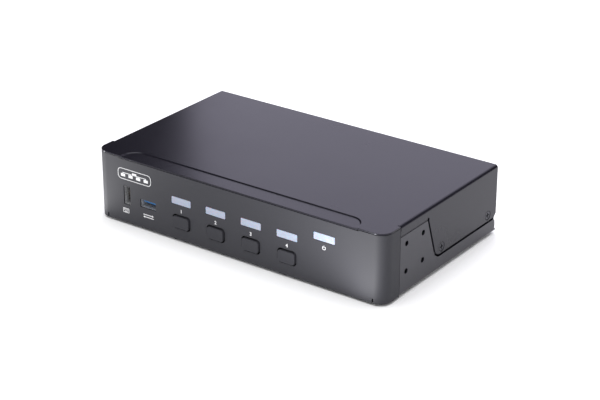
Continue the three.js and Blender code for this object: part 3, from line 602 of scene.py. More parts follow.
def solder_mask(name, rgb):
    """Green board: copper tracks and pads show lighter and stand a little proud under the mask."""
    made, tree, surface = shader(name, Coat_Weight=0.3, Coat_Roughness=0.2)
    place = object_place(tree)
    tracks = add_node(tree, "ShaderNodeTexBrick", {
        "Scale": 1.0, "Brick Width": 9.0 * MM, "Row Height": 1.3 * MM, "Mortar Size": 0.22 * MM,
        "Color1": (0, 0, 0, 1), "Color2": (0, 0, 0, 1), "Mortar": (1, 1, 1, 1)})
    pads = add_node(tree, "ShaderNodeTexVoronoi", {"Scale": 330.0})
    tree.links.new(place, tracks.inputs["Vector"])
    tree.links.new(place, pads.inputs["Vector"])
    pad = ranged(tree, pads.outputs["Distance"], 1.0, 0.0, 0.10, 0.16)
    masked = mixed(tree, tracks.outputs["Color"], rgb, scaled_colour(rgb, 1.9))
    tree.links.new(mixed(tree, pad, masked, (0.45, 0.42, 0.36)), surface.inputs["Base Color"])
    tree.links.new(ranged(tree, pads.outputs["Distance"], 0.35, 0.55), surface.inputs["Roughness"])
    tree.links.new(bumped(tree, tracks.outputs["Color"], 0.3, 0.03 * MM), surface.inputs["Normal"])
    return made


def ribbon_film(name):
    """Flat cable: copper conductors run side by side under a pale film."""
    film, copper = (0.62, 0.60, 0.52), (0.45, 0.36, 0.24)
    made, tree, surface = shader(name, Roughness=0.45)
    wave = add_node(tree, "ShaderNodeTexWave", {"Scale": 160.0}, bands_direction="X")
    tree.links.new(object_place(tree), wave.inputs["Vector"])
    tone = mixed(tree, ranged(tree, wave.outputs["Fac"], 0.0, 1.0), film, copper)
    tree.links.new(tone, surface.inputs["Base Color"])
    tree.links.new(bumped(tree, wave.outputs["Fac"], 0.4, 0.05 * MM), surface.inputs["Normal"])
    return made


def make_material(name):
    """Each coat gives its colour, roughness, grain and peel per metre, grain height and wear."""
    finish = bpy.context.scene.kvm_finishes
    wear = finish.wear
    recipes = {
        "powder_coat": lambda: coated(
            name, tuple(finish.coat), 0.25, 1100.0, 260.0, 0.02 * MM, wear,
            Specular_IOR_Level=0.27, Specular_Tint=(0.90, 0.90, 1.0, 1.0)),
        "tray_coat": lambda: coated(
            name, scaled_colour(finish.coat, 1.3), 0.32, 1100.0, 260.0, 0.03 * MM, wear,
            Specular_IOR_Level=0.48, Specular_Tint=(0.92, 0.92, 1.0, 1.0)),
        "bezel_plastic": lambda: coated(
            name, tuple(finish.bezel), 0.22, 1500.0, 420.0, 0.012 * MM, wear * 0.3,
            Specular_IOR_Level=0.38, Specular_Tint=(0.80, 0.79, 1.0, 1.0)),
        "button_plastic": lambda: coated(
            name, scaled_colour(finish.bezel, 0.9), 0.30, 1600.0, 420.0, 0.012 * MM, wear * 0.3,
            Specular_Tint=(0.78, 0.78, 1.0, 1.0)),
        "frosted_window": lambda: frosted(name, tuple(finish.window)),
        "printed_ink": lambda: coated(name, tuple(finish.ink), 0.55, 2200.0, 600.0, 0.01 * MM, 0.0),
        "foot_rubber": lambda: coated(name, (0.014, 0.014, 0.015), 0.82, 700.0, 200.0, 0.06 * MM, 0.1),
        "black_screw": lambda: plain_metal(name, (0.055, 0.055, 0.065), 0.36, 1500.0, 900.0),
        "zinc_screw": lambda: plain_metal(name, (0.62, 0.63, 0.65), 0.30, 1500.0, 900.0),
        "pillar_brass": lambda: plain_metal(name, (0.72, 0.53, 0.24), 0.28, 700.0, 700.0),
        "socket_nickel": lambda: plain_metal(name, (0.70, 0.71, 0.74), 0.30, metallic=0.5),
        "contact_gold": lambda: plain_metal(name, (0.83, 0.62, 0.28), 0.25),
        "blue_insert": lambda: coated(name, tuple(finish.blue), 0.42, 1500.0, 500.0, 0.02 * MM, 0.1),
        "black_insert": lambda: coated(name, (0.012, 0.012, 0.014), 0.5, 1500.0, 500.0, 0.02 * MM, 0.1),
        "solder_mask": lambda: solder_mask(name, tuple(finish.board)),
        "sink_aluminium": lambda: plain_metal(name, (0.50, 0.51, 0.53), 0.38),
        "ribbon_film": lambda: ribbon_film(name),
    }
    return recipes[name]()


def material(name):
    """The finish of that name. One that the frame already holds under the name is used as it is."""
    return bpy.data.materials.get(name) or make_material(name)


# ---- folded steel ----------------------------------------------------------------------------

BEND_RELIEF = in_mm(length=0.45, inset=0.2)
DIMPLE = in_mm(boss=3.8, boss_end=2.8, boss_depth=1.4, mouth=3.3, hole=1.8, depth=1.1, hole_start=0.5,
               hole_depth=4.0)
LUG = in_mm(inset=2.4, half=6.0, root=0.2, above=5.0, hole=1.8, hole_inset=3.0, hole_depth=3.0)
POST = in_mm(radius=2.8, bore=1.75, root=0.5, uncut=0.7)
EAR_THROUGH = 6.0 * MM
PANEL_THROUGH = 4.0 * MM


def folded_sheet(name, low, high, radius):
    """A sheet folded up into a U along the case: a box loses its top and both ends, and gets a wall."""
    piece = block(name, low, high)
    round_upright(piece, 1, radius, FOLD_STEPS, lambda edge: near(middle(edge).z, low[2]))
    remove_faces(piece, lambda face: faces_along(face, 1) or faces_out(face, 2, 1))
    thicken(piece, bpy.context.scene.kvm_case.sheet)
    return piece


def slant():
    """How far the slot leans back for each unit that it drops."""
    sizes = bpy.context.scene.kvm_case
    return (sizes.tab_back - sizes.tab_foot) / (TAB_TOP_Z - sizes.strip_top)


def slot_line(z, behind=0.0):
    """Y of the tab's slanted rear edge at a height, or of a line behind it."""
    sizes = bpy.context.scene.kvm_case
    return -sizes.tab_back + behind + slant() * (TAB_TOP_Z - z)


def slanted_block(name, low_y, high_y, low_z, high_z, lean_at, lean_behind):
    """A block across the whole case whose front or rear face follows the slot's slant."""
    reach = SIDE_X + CUTTER
    piece = block(name, (-reach, low_y, low_z), (reach, high_y, high_z))
    for z in (low_z, high_z):
        with editing(piece):
            pick(piece, "VERT", lambda vertex: near(vertex.co.z, z) and near(vertex.co.y, lean_at))
            shift_picked((0.0, slot_line(z, lean_behind) - lean_at, 0.0))
    return piece


def cover_side_view():
    """What the side view keeps of the folded cover: a strip above the tab, and the panel behind the slot."""
    sizes = bpy.context.scene.kvm_case
    low = sizes.strip_top + sizes.slot
    high = TOP_Z + CUTTER
    panel = slanted_block("panel", -sizes.tab_back, BACK_Y, low, high, -sizes.tab_back, sizes.slot)
    front = slot_line(low, sizes.slot)
    round_upright(panel, 0, sizes.tab_round - sizes.slot, 6,
                  lambda edge: near(middle(edge).z, low) and near(middle(edge).y, front))
    round_upright(panel, 0, sizes.rear_chamfer, 1,
                  lambda edge: near(middle(edge).z, low) and near(middle(edge).y, BACK_Y))
    reach = SIDE_X + CUTTER
    strip = block("strip", (-reach, SEAM_BACK_Y, TAB_TOP_Z + sizes.strip_gap),
                  (reach, BACK_Y - CUTTER, high - CUTTER / 2))
    plate = block("plate", (-reach - CUTTER, FRONT_Y - CUTTER, TOP_Z - sizes.sheet),
                  (reach + CUTTER, BACK_Y - 2 * CUTTER, high + CUTTER))
    return weld(weld(panel, strip), plate)


def rounded_plate(name, low, high, radius, segments, at_y):
    """A flat block whose upright edges at one end are rounded."""
    piece = block(name, low, high)
    round_upright(piece, 2, radius, segments, lambda edge: near(middle(edge).y, at_y))
    return piece


def recess_tool():
    """The space above the finger recess: its floor is smaller than its mouth, so the step slopes."""
    sizes = bpy.context.scene.kvm_case
    half, back = sizes.recess_half, FRONT_Y + sizes.recess_depth
    floor_z = TOP_Z - sizes.recess_press
    tool = rounded_plate("recess", (-half, FRONT_Y - 4 * CUTTER, floor_z), (half, back, TOP_Z),
                         sizes.recess_corner, 12, back)
    shrink = 1.0 - sizes.recess_slope / half
    shrink_y = 1.0 - sizes.recess_slope / sizes.recess_depth
    with editing(tool):
        pick(tool, "FACE", lambda face: faces_out(face, 2, -1))
        bpy.ops.transform.resize(value=(shrink, shrink_y, 1.0), center_override=(0.0, FRONT_Y, floor_z))
        pick(tool, "FACE", lambda face: faces_out(face, 2, 1))
        bpy.ops.mesh.extrude_region_move(TRANSFORM_OT_translate={"value": (0.0, 0.0, CUTTER)})
    return tool


def screw_places():
    """Side, Y and Z of each cover screw."""
    places = []
    for side, label in ((-1, "left"), (1, "right")):
        for n in (1, 2):
            spot = centre_of(f"cover_screw_{label}_{n}")
            places.append((side, spot.y, spot.z))
    return places


def dimple_cones(radius, end_radius, start, depth):
    """A cone at each cover screw, pointing into the case."""
    cones = []
    for side, y, z in screw_places():
        centre = (side * (SIDE_X - start - depth / 2), y, z)
        cones.append(rod("dimple", "X" if side < 0 else "-X", centre, radius, depth, end_radius=end_radius))
    return cones


def fold_waste(side, low_y, high_y, radius):
    """What a side fold leaves off a square upper edge."""
    x, z = side * (SIDE_X - radius), TOP_Z - radius
    low_x, high_x = sorted((x, side * (SIDE_X + CUTTER)))
    waste = block("fold_waste", (low_x, low_y, z), (high_x, high_y, TOP_Z + CUTTER))
    return cut(waste, rod("core", "Y", (x, (low_y + high_y) / 2, z), radius, 2 * (high_y - low_y), sides=64))


def end_block(name, side, inner_x, low_y, high_y, low_z, high_z):
    """A block from a distance off the middle out past one end of the case."""
    low_x, high_x = sorted((side * inner_x, side * (SIDE_X + CUTTER)))
    return block(name, (low_x, low_y, low_z), (high_x, high_y, high_z))


def cover_blank():
    """The whole cover as one flat-topped shell: square over the bezel, folded down behind it."""
    sizes = bpy.context.scene.kvm_case
    blank = rounded_plate("cover_shell", (-SIDE_X, FRONT_Y, COVER_LOW.z), (SIDE_X, BACK_Y, TOP_Z),
                          sizes.corner, 16, FRONT_Y)
    cut(blank, *[fold_waste(side, SEAM_BACK_Y, BACK_Y + CUTTER, sizes.cover_bend) for side in (-1, 1)])
    inner_x, ceiling = SIDE_X - sizes.sheet, TOP_Z - sizes.sheet
    inside = block("inside", (-inner_x, FRONT_Y - CUTTER, COVER_LOW.z - CUTTER),
                   (inner_x, BACK_Y + CUTTER, ceiling))
    round_upright(inside, 1, sizes.cover_bend - sizes.sheet, FOLD_STEPS,
                  lambda edge: near(middle(edge).z, ceiling))
    return cut(blank, inside)


def build_cover():
    sizes = bpy.context.scene.kvm_case
    sheet = sizes.sheet
    ceiling = TOP_Z - sheet
    cover = cover_blank()
    combine(cover, cover_side_view(), "INTERSECT")
    slot_top = (-sizes.tab_back + sizes.slot / 2, TAB_TOP_Z + sizes.strip_gap)
    cut(cover, *[rod("relief", "X", (side * SIDE_X, *slot_top), sizes.relief, 4 * sheet, sides=24)
                 for side in (-1, 1)])
    neck_end = SEAM_BACK_Y + BEND_RELIEF.length
    neck_x = SIDE_X - sizes.cover_bend - BEND_RELIEF.inset
    cut(cover, *[end_block("bend_relief", side, neck_x, SEAM_FRONT_Y, neck_end, ceiling - 2 * sheet,
                           TOP_Z + CUTTER) for side in (-1, 1)])
    half = sizes.recess_half + sheet / 2
    back = FRONT_Y + sizes.recess_depth + sheet / 2
    weld(cover, rounded_plate("pressing", (-half, FRONT_Y, ceiling - sizes.recess_press),
                              (half, back, TOP_Z - GAP), sizes.recess_corner + sheet / 2, 12, back))
    cut(cover, recess_tool())
    weld(cover, *dimple_cones(DIMPLE.boss, DIMPLE.boss_end, sheet / 2, DIMPLE.boss_depth))
    cut(cover, *dimple_cones(DIMPLE.mouth, DIMPLE.hole, 0.0, DIMPLE.depth))
    cut(cover, *dimple_cones(DIMPLE.hole, DIMPLE.hole, DIMPLE.hole_start, DIMPLE.hole_depth))
    soften(cover, sizes.edge, 3)
    return hand_over(cover, "powder_coat", CASE, "top_cover")


def tray_side_view():
    """What the side view keeps of the folded tray: the tall tab, the low strip behind it, and the floor."""
    sizes = bpy.context.scene.kvm_case
    low = BOTTOM_Z - CUTTER
    tab = slanted_block("tab", SEAM_BACK_Y, -sizes.tab_foot, low, TAB_TOP_Z, -sizes.tab_foot, 0.0)
    reach = SIDE_X + CUTTER
    strip_end = BACK_Y - sizes.strip_cut
    strip = block("strip", (-reach, -sizes.tab_back - 5 * CUTTER, low), (reach, strip_end, sizes.strip_top))
    round_upright(strip, 0, sizes.strip_round, 6,
                  lambda edge: near(middle(edge).z, sizes.strip_top) and near(middle(edge).y, strip_end))
    profile = weld(tab, strip)
    round_upright(profile, 0, sizes.tab_round, 10,
                  lambda edge: (near(middle(edge).z, sizes.strip_top)
                                and near(middle(edge).y, -sizes.tab_foot, 0.2 * MM)))
    floor = block("floor", (-reach - CUTTER, strip_end - 4 * CUTTER, low - CUTTER),
                  (reach + CUTTER, BACK_Y + CUTTER, BOTTOM_Z + sizes.tray_bend))
    return weld(profile, floor)


def ear_holes():
    """Four plain holes on a square in each tall tab."""
    sizes = bpy.context.scene.kvm_case
    half = sizes.ear_pitch / 2
    holes = []
    for side in (-1, 1):
        for across in (-1, 1):
            for up in (-1, 1):
                centre = (side * SIDE_X, across * half - sizes.ear_back, sizes.ear_height + up * half)
                holes.append(rod("ear_hole", "X", centre, sizes.ear_radius, EAR_THROUGH, sides=24))
    return holes


def panel_openings():
    """An opening in the rear panel round each rear socket."""
    openings = []
    for node in REAR_NODES:
        low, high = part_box(node)
        centre = (low + high) / 2
        if node in JACKS:
            openings.append(rod("opening", "Y", (centre.x, BACK_Y, centre.z), JACK.hole, PANEL_THROUGH))
            continue
        opening = block("opening", (low.x - GAP, BACK_Y - PANEL_THROUGH / 2, low.z - GAP),
                        (high.x + GAP, BACK_Y + PANEL_THROUGH / 2, high.z + GAP))
        if node in VIDEO_SOCKETS:
            round_upright(opening, 1, VIDEO.chamfer, 1, lambda edge: near(middle(edge).z, high.z + GAP))
        openings.append(opening)
    return openings


def tray_posts():
    """Stand-offs under the main board, and the bores for its screws."""
    floor = BOTTOM_Z + POST.root
    top = MAIN_BOARD_LOW.z - GAP
    height = top - floor
    places = [centre_of(node) for node in POST_NODES]
    posts = [rod("post", "Z", (spot.x, spot.y, (floor + top) / 2), POST.radius, height, sides=24)
             for spot in places]
    bores = [rod("bore", "Z", (spot.x, spot.y, top), POST.bore, 2 * (height - POST.uncut), sides=24)
             for spot in places]
    return posts, bores


def build_tray():
    sizes = bpy.context.scene.kvm_case
    sheet = sizes.sheet
    tray = folded_sheet("tray_shell", (-SIDE_X, SEAM_BACK_Y, BOTTOM_Z), (SIDE_X, BACK_Y, TAB_TOP_Z),
                        sizes.tray_bend)
    combine(tray, tray_side_view(), "INTERSECT")
    inside = SIDE_X - sizes.wall - GAP
    floor_front = FRONT_Y + sizes.wall + GAP
    weld(tray, rounded_plate("front_floor", (-inside, floor_front, BOTTOM_Z),
                             (inside, SEAM_BACK_Y + 2 * CUTTER, BOTTOM_Z + sheet),
                             sizes.corner - sizes.wall, 12, floor_front))
    lug_x = SIDE_X - LUG.inset
    lugs = []
    for side, y, z in screw_places():
        low_x, high_x = sorted((side * (lug_x - sheet), side * lug_x))
        lugs.append(block("lug", (low_x, y - LUG.half, BOTTOM_Z + LUG.root),
                          (high_x, y + LUG.half, z + LUG.above)))
    posts, bores = tray_posts()
    weld(tray, *lugs, *posts)
    cut(tray, *bores)
    cut(tray, *[rod("lug_hole", "X", (side * (SIDE_X - LUG.hole_inset), y, z), LUG.hole, LUG.hole_depth)
                for side, y, z in screw_places()])
    cut(tray, *ear_holes())
    soften(tray, sizes.edge, 2)
    return hand_over(tray, "tray_coat", CASE, "base_tray")


def build_rear_panel():
    """One folded plate: a wall with an opening for each socket, and a flange along its foot."""
    sizes = bpy.context.scene.kvm_case
    panel = block("rear_plate", REAR_LOW, REAR_HIGH)
    round_upright(panel, 0, sizes.tray_bend, FOLD_STEPS,
                  lambda edge: near(middle(edge).z, REAR_LOW.z) and near(middle(edge).y, REAR_HIGH.y))
    remove_faces(panel, lambda face: (faces_along(face, 0) or faces_out(face, 2, 1)
                                      or faces_out(face, 1, -1)))
    thicken(panel, sizes.sheet)
    wall_y = REAR_HIGH.y - sizes.tray_bend
    cut(panel, *[end_block("flange_end", side, REAR_HIGH.x - sizes.rear_flange_cut, REAR_LOW.y - CUTTER,
                           wall_y, REAR_LOW.z - CUTTER, REAR_LOW.z + 3 * CUTTER) for side in (-1, 1)])
    cut(panel, *panel_openings())
    soften(panel, sizes.edge, 2)
    return hand_over(panel, "tray_coat", CASE, "rear_panel")


# ---- moulded front ---------------------------------------------------------------------------

BEZEL = in_mm(recess_room=1.5, edge=0.15, hook_place=60.0, hook_half=5.0, hook_reach=4.0, hook_top=3.0)
CAP = in_mm(behind_wall=1.9, flange=1.0, stem=4.0, edge=0.22)
WINDOW = in_mm(behind_wall=0.4, flange=1.2, stem_width=8.0, stem_height=3.0, edge=0.15)
USB = in_mm(mouth_corner=0.6, corner=0.8, wall=0.4, edge=0.08)


def front_block(name, x, z, width, height, low_y, high_y, radius, segments=6):
    """A block through the front, with its four Y edges rounded."""
    piece = block(name, (x - width / 2, low_y, z - height / 2), (x + width / 2, high_y, z + height / 2))
    if radius:
        round_upright(piece, 1, radius, segments)
    return piece


def bezel_openings():
    sizes = bpy.context.scene.kvm_front
    start = FRONT_Y - CUTTER
    end = FRONT_Y + bpy.context.scene.kvm_case.wall + CUTTER
    tools = []
    for name in WINDOWS:
        spot = centre_of(f"light_window_{name}")
        tools.append(front_block("opening", spot.x, spot.z, sizes.window_width + 2 * GAP,
                                 sizes.window_height + 2 * GAP, start, end, sizes.window_corner + GAP))
    for n in CHANNELS:
        spot = centre_of(f"select_button_{n}")
        tools.append(front_block("opening", spot.x, spot.z, sizes.cap_width + 2 * sizes.cap_gap,
                                 sizes.cap_height + 2 * sizes.cap_gap, start, end,
                                 sizes.cap_corner + sizes.cap_gap, 8))
    for name in ("keyboard", "data"):
        low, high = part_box(f"front_usb_shell_{name}")
        spot = (low + high) / 2
        tools.append(front_block("opening", spot.x, spot.z, high.x - low.x - 2 * sizes.usb_lip,
                                 high.z - low.z - 2 * sizes.usb_lip, start, low.y - GAP + CUTTER,
                                 USB.mouth_corner))
    for side in (-1, 1):
        x = side * (SIDE_X - bpy.context.scene.kvm_case.corner)
        tools.append(block("notch", (x - sizes.notch / 2, start, 0.0),
                           (x + sizes.notch / 2, end - CUTTER, BOTTOM_Z + sizes.notch_height)))
    return tools


def socket_pockets():
    """The wider rear part of each front socket's opening, which takes the rim of its shell."""
    pockets = []
    for name in ("keyboard", "data"):
        low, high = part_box(f"front_usb_shell_{name}")
        spot = (low + high) / 2
        pockets.append(front_block("pocket", spot.x, spot.z, high.x - low.x + 2 * GAP,
                                   high.z - low.z + 2 * GAP, low.y - GAP, FRONT_Y + 3 * CUTTER,
                                   USB.mouth_corner))
    return pockets


def build_bezel():
    sizes = bpy.context.scene.kvm_case
    bezel = block("bezel_shell", BEZEL_LOW, BEZEL_HIGH)
    round_upright(bezel, 2, sizes.corner, 20, lambda edge: near(middle(edge).y, FRONT_Y))
    remove_faces(bezel, lambda face: faces_along(face, 2) or faces_out(face, 1, 1))
    thicken(bezel, sizes.wall)
    half = sizes.recess_half + BEZEL.recess_room
    recess_low = TOP_Z - sizes.sheet - sizes.recess_press - GAP
    cut(bezel, block("recess_clearance", (-half, FRONT_Y - CUTTER, recess_low), (half, SEAM_BACK_Y, TOP_Z)))
    inner = FRONT_Y + sizes.wall
    hooks = []
    for side in (-1, 1):
        x = side * BEZEL.hook_place
        hooks.append(block("hook", (x - BEZEL.hook_half, inner - CUTTER, BOTTOM_Z + sizes.sheet + GAP),
                           (x + BEZEL.hook_half, inner + BEZEL.hook_reach,
                            BOTTOM_Z + sizes.sheet + BEZEL.hook_top)))
    weld(bezel, *hooks)
    cut(bezel, *socket_pockets())
    cut(bezel, *bezel_openings())
    soften(bezel, BEZEL.edge, 2)
    return hand_over(bezel, "bezel_plastic", CASE, "front_bezel")


def stepped_stem(piece, steps):
    """Draws the rear face out in steps, each a width, a height and a length."""
    for width, height, run in steps:
        with editing(piece):
            rear = max(vertex.co.y for vertex in piece.data.vertices)
            pick(piece, "FACE", lambda face: faces_out(face, 1, 1) and near(middle(face).y, rear))
            shape = bmesh.from_edit_mesh(piece.data)
            points = [vertex.co for face in shape.faces if face.select for vertex in face.verts]
            low = Vector([min(point[k] for point in points) for k in range(3)])
            high = Vector([max(point[k] for point in points) for k in range(3)])
            grow = (width / (high.x - low.x), 1.0, height / (high.z - low.z))
            bpy.ops.mesh.extrude_region_move(TRANSFORM_OT_translate={"value": (0.0, 0.0, 0.0)})
            bpy.ops.transform.resize(value=grow, center_override=(low + high) / 2)
            bpy.ops.mesh.extrude_region_move(TRANSFORM_OT_translate={"value": (0.0, run, 0.0)})


def build_buttons():
    sizes = bpy.context.scene.kvm_front
    low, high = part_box("select_button_1")
    spot = (low + high) / 2
    flange_y = FRONT_Y + bpy.context.scene.kvm_case.wall + CAP.behind_wall
    cap = front_block("select_cap_1", spot.x, spot.z, sizes.cap_width, sizes.cap_height, low.y, flange_y,
                      sizes.cap_corner, 8)
    round_mouth(cap, low.y, CAP.edge, 3)
    lip = 2 * sizes.flange_lip
    stepped_stem(cap, [(sizes.cap_width + lip, sizes.cap_height + lip, CAP.flange),
                       (CAP.stem, CAP.stem, high.y - flange_y - CAP.flange)])
    smooth(cap, 30.0)
    caps = [cap] + [copy_of(cap, f"select_cap_{n}", centre_of(f"select_button_{n}") - spot)
                    for n in CHANNELS if n > 1]
    for n, piece in zip(CHANNELS, caps):
        hand_over(piece, "button_plastic", f"button_{n}", f"select_button_{n}")


def build_windows():
    sizes = bpy.context.scene.kvm_front
    low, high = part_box("light_window_1")
    spot = (low + high) / 2
    flange_y = FRONT_Y + bpy.context.scene.kvm_case.wall + WINDOW.behind_wall
    window = front_block("status_window_1", spot.x, spot.z, sizes.window_width, sizes.window_height, low.y,
                         flange_y, sizes.window_corner, 4)
    round_mouth(window, low.y, WINDOW.edge, 2)
    lip = 2 * sizes.flange_lip
    stepped_stem(window, [(sizes.window_width + lip, sizes.window_height + lip, WINDOW.flange),
                          (WINDOW.stem_width, WINDOW.stem_height, high.y - flange_y - WINDOW.flange)])
    smooth(window, 30.0)
    windows = [window] + [copy_of(window, f"status_window_{name}", centre_of(f"light_window_{name}") - spot)
                          for name in WINDOWS[1:]]
    for name, piece in zip(WINDOWS, windows):
        hand_over(piece, "frosted_window", CASE, f"light_window_{name}")


# ---- front sockets ---------------------------------------------------------------------------

SPRING = in_mm(start=5.2, lead=2.0, apart=3.3, half=1.1, length=4.0, line=0.35, deep=1.6, bridge=2.5)
TONGUE = in_mm(thick=1.9, wide=11.1, lift=1.1, root=3.6, mouth_edge=0.45, edge=0.06)
CONTACT = in_mm(pitch=2.25, half_long=3.6, half_wide=0.5, half_thick=0.05, start=4.6)
THIN_SOFT = 0.03 * MM


def laid(upright, thick, wide, deep=0.0):
    """A size or a step across a socket that lies flat, or across one that stands upright."""
    return Vector((thick, deep, wide) if upright else (wide, deep, thick))


def pressed_tube(name, low, high, radius, wall):
    """A drawn metal tube along Y, open at both ends."""
    piece = block(name, low, high)
    round_upright(piece, 1, radius, 6)
    remove_faces(piece, lambda face: faces_along(face, 1))
    thicken(piece, wall)
    return piece


def spring_slots(low, high, upright):
    """Two U-shaped cuts in each broad side of a USB shell, round the springs that grip a plug."""
    long_axis, short_axis = (2, 0) if upright else (0, 2)
    centre = (low + high) / 2
    tools = []
    for side in (-1, 1):
        for across in (-1, 1):
            for part in (-1, 0, 1):
                at = Vector(centre)
                at.y = low.y + SPRING.start - (0.0 if part else SPRING.lead)
                at[short_axis] += side * (high[short_axis] - low[short_axis]) / 2
                at[long_axis] += across * SPRING.apart + part * SPRING.half
                lengths = (SPRING.length, SPRING.line) if part else (SPRING.line, SPRING.bridge)
                length_y, length_across = lengths
                size = laid(upright, SPRING.deep, length_across, length_y)
                tools.append(block("spring_slot", at - size / 2, at + size / 2))
    return tools


def build_front_socket(name, upright, insert):
    low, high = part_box(f"front_usb_shell_{name}")
    shell = pressed_tube(f"usb_shell_{name}", low, high, USB.corner, USB.wall)
    for tool in spring_slots(low, high, upright):
        cut(shell, tool)
    soften(shell, USB.edge, 2)
    hand_over(shell, "socket_nickel", CASE, f"front_usb_shell_{name}")

    tongue_low, tongue_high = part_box(f"front_usb_tongue_{name}")
    spot = (low + high) / 2 + laid(upright, TONGUE.lift, 0.0)
    half = laid(upright, TONGUE.thick, TONGUE.wide) / 2
    root_y = tongue_high.y - TONGUE.root
    tongue = block(f"usb_tongue_{name}", (spot.x - half.x, tongue_low.y, spot.z - half.z),
                   (spot.x + half.x, root_y + CUTTER, spot.z + half.z))
    round_mouth(tongue, tongue_low.y, TONGUE.mouth_edge, 2)
    weld(tongue, block("root", (tongue_low.x, root_y, tongue_low.z), tongue_high))
    soften(tongue, TONGUE.edge, 2)
    hand_over(tongue, insert, CASE, f"front_usb_tongue_{name}")
    build_contacts(f"usb_contacts_{name}", spot, tongue_low.y, upright)


def build_contacts(name, spot, mouth_y, upright):
    """Four gold contacts on the tongue's open face."""
    half = laid(upright, CONTACT.half_thick, CONTACT.half_wide, CONTACT.half_long)
    strips = []
    for n in range(4):
        along = (n - 1.5) * CONTACT.pitch
        at = Vector((spot.x, mouth_y + CONTACT.start, spot.z)) + laid(upright, -TONGUE.thick / 2, along)
        strip = block(name, at - half, at + half)
        bevel_all(strip, THIN_SOFT, 1)
        strips.append(strip)
    contacts = gather(strips)
    contacts.name = name
    smooth(contacts)
    hand_over(contacts, "contact_gold", CASE)


# ---- printed marks ---------------------------------------------------------------------------

POWER_SIGN = in_mm(radius=1.25, line=0.32, gap=0.62, gap_start=0.4, bar_start=0.1, bar_rise=0.35)
KEYBOARD_SIGN = in_mm(width=4.9, height=3.1, corner=0.5, line=0.34, pitch=0.95, first_row=0.75, row=0.72,
                      key_x=0.27, key_z=0.19, bar_x=1.1, bar_low=0.95, bar_high=0.6)
ARROW_SIGN = in_mm(apart=0.8, reach=4.2, line=0.24, shaft=1.2, head=1.3, head_half=0.75)
ARROW_TIP = 0.05
PLATE_SIGN = in_mm(width=27.0, height=7.4, corner=2.7, line=0.36, bus_x=9.6, bus_low=0.55, bus_high=0.95,
                   pitch=6.2, box_x=1.7, box_low=1.8, box_high=0.1, drop_x=0.2, drop_high=0.6,
                   root_low=1.1, root_high=2.1)
PLACES = in_mm(numeral=6.6, power=6.4, keyboard_shift=1.2, keyboard_height=8.3, arrow_height=8.9,
               plate_shift=1.9, plate_height=33.3)
TEXT_TO_DIGIT = 1.3
DIGIT_WEIGHT = 0.05 * MM


def ink_block(x0, z0, x1, z1):
    ink = bpy.context.scene.kvm_front.ink
    return block("mark", (min(x0, x1), FRONT_Y - ink, min(z0, z1)),
                 (max(x0, x1), FRONT_Y + ink / 2, max(z0, z1)))


def ink_frame(x, z, width, height, radius, line):
    """A rounded outline of even line width."""
    ink = bpy.context.scene.kvm_front.ink
    frame_line = front_block("mark", x, z, width, height, FRONT_Y - ink, FRONT_Y + ink / 2, radius, 8)
    return cut(frame_line, front_block("hole", x, z, width - 2 * line, height - 2 * line, FRONT_Y - CUTTER,
                                       FRONT_Y + CUTTER, radius - line, 8))


def ink_ring(x, z, radius, line):
    ink = bpy.context.scene.kvm_front.ink
    ring = rod("mark", "Y", (x, FRONT_Y - ink / 4, z), radius, 1.5 * ink, sides=40)
    return cut(ring, rod("hole", "Y", (x, FRONT_Y, z), radius - line, 2 * CUTTER, sides=40))


def numeral(n, x, z):
    sizes = bpy.context.scene.kvm_front
    deselect()
    bpy.ops.object.text_add(location=(x, FRONT_Y - sizes.ink / 4, z), rotation=(math.pi / 2, 0.0, 0.0))
    text = bpy.context.object
    text.data.body = str(n)
    text.data.size = sizes.digit * TEXT_TO_DIGIT
    text.data.extrude = 0.75 * sizes.ink
    text.data.offset = DIGIT_WEIGHT
    text.data.align_x = "CENTER"
    text.data.align_y = "CENTER"
    bpy.ops.object.convert(target="MESH")
    return named("mark")


def power_sign(x, z):
    """The usual open ring with a bar."""
    sign = POWER_SIGN
    ring = ink_ring(x, z, sign.radius, sign.line)
    cut(ring, block("gap", (x - sign.gap, FRONT_Y - CUTTER, z + sign.gap_start),
                    (x + sign.gap, FRONT_Y + CUTTER, z + 2 * sign.radius)))
    bar_top = z + sign.radius + sign.bar_rise
    return [ring, ink_block(x - sign.line / 2, z + sign.bar_start, x + sign.line / 2, bar_top)]


def keyboard_sign(x, z):
    """A small keyboard: an outline with two rows of keys and a space bar."""
    sign = KEYBOARD_SIGN
    marks = [ink_frame(x, z, sign.width, sign.height, sign.corner, sign.line)]
    for row in (0, 1):
        for column in range(4):
            cx = x + (column - 1.5) * sign.pitch
            cz = z + sign.first_row - sign.row * row
            marks.append(ink_block(cx - sign.key_x, cz - sign.key_z, cx + sign.key_x, cz + sign.key_z))
    marks.append(ink_block(x - sign.bar_x, z - sign.bar_low, x + sign.bar_x, z - sign.bar_high))
    return marks


def arrow_sign(x, z):
    """Two opposed arrows, for data both ways."""
    sign = ARROW_SIGN
    marks = []
    for way in (-1, 1):
        level = z + way * sign.apart
        tip = x + way * sign.reach
        shaft_end = tip - way * sign.shaft
        marks.append(ink_block(x - way * sign.reach, level - sign.line, shaft_end, level + sign.line))
        head = ink_block(tip - way * sign.head, level - sign.head_half, tip, level + sign.head_half)
        with editing(head):
            pick(head, "VERT", lambda vertex: near(vertex.co.x, tip))
            bpy.ops.transform.resize(value=(1.0, 1.0, ARROW_TIP), center_override=(tip, FRONT_Y, level))
        marks.append(head)
    return marks


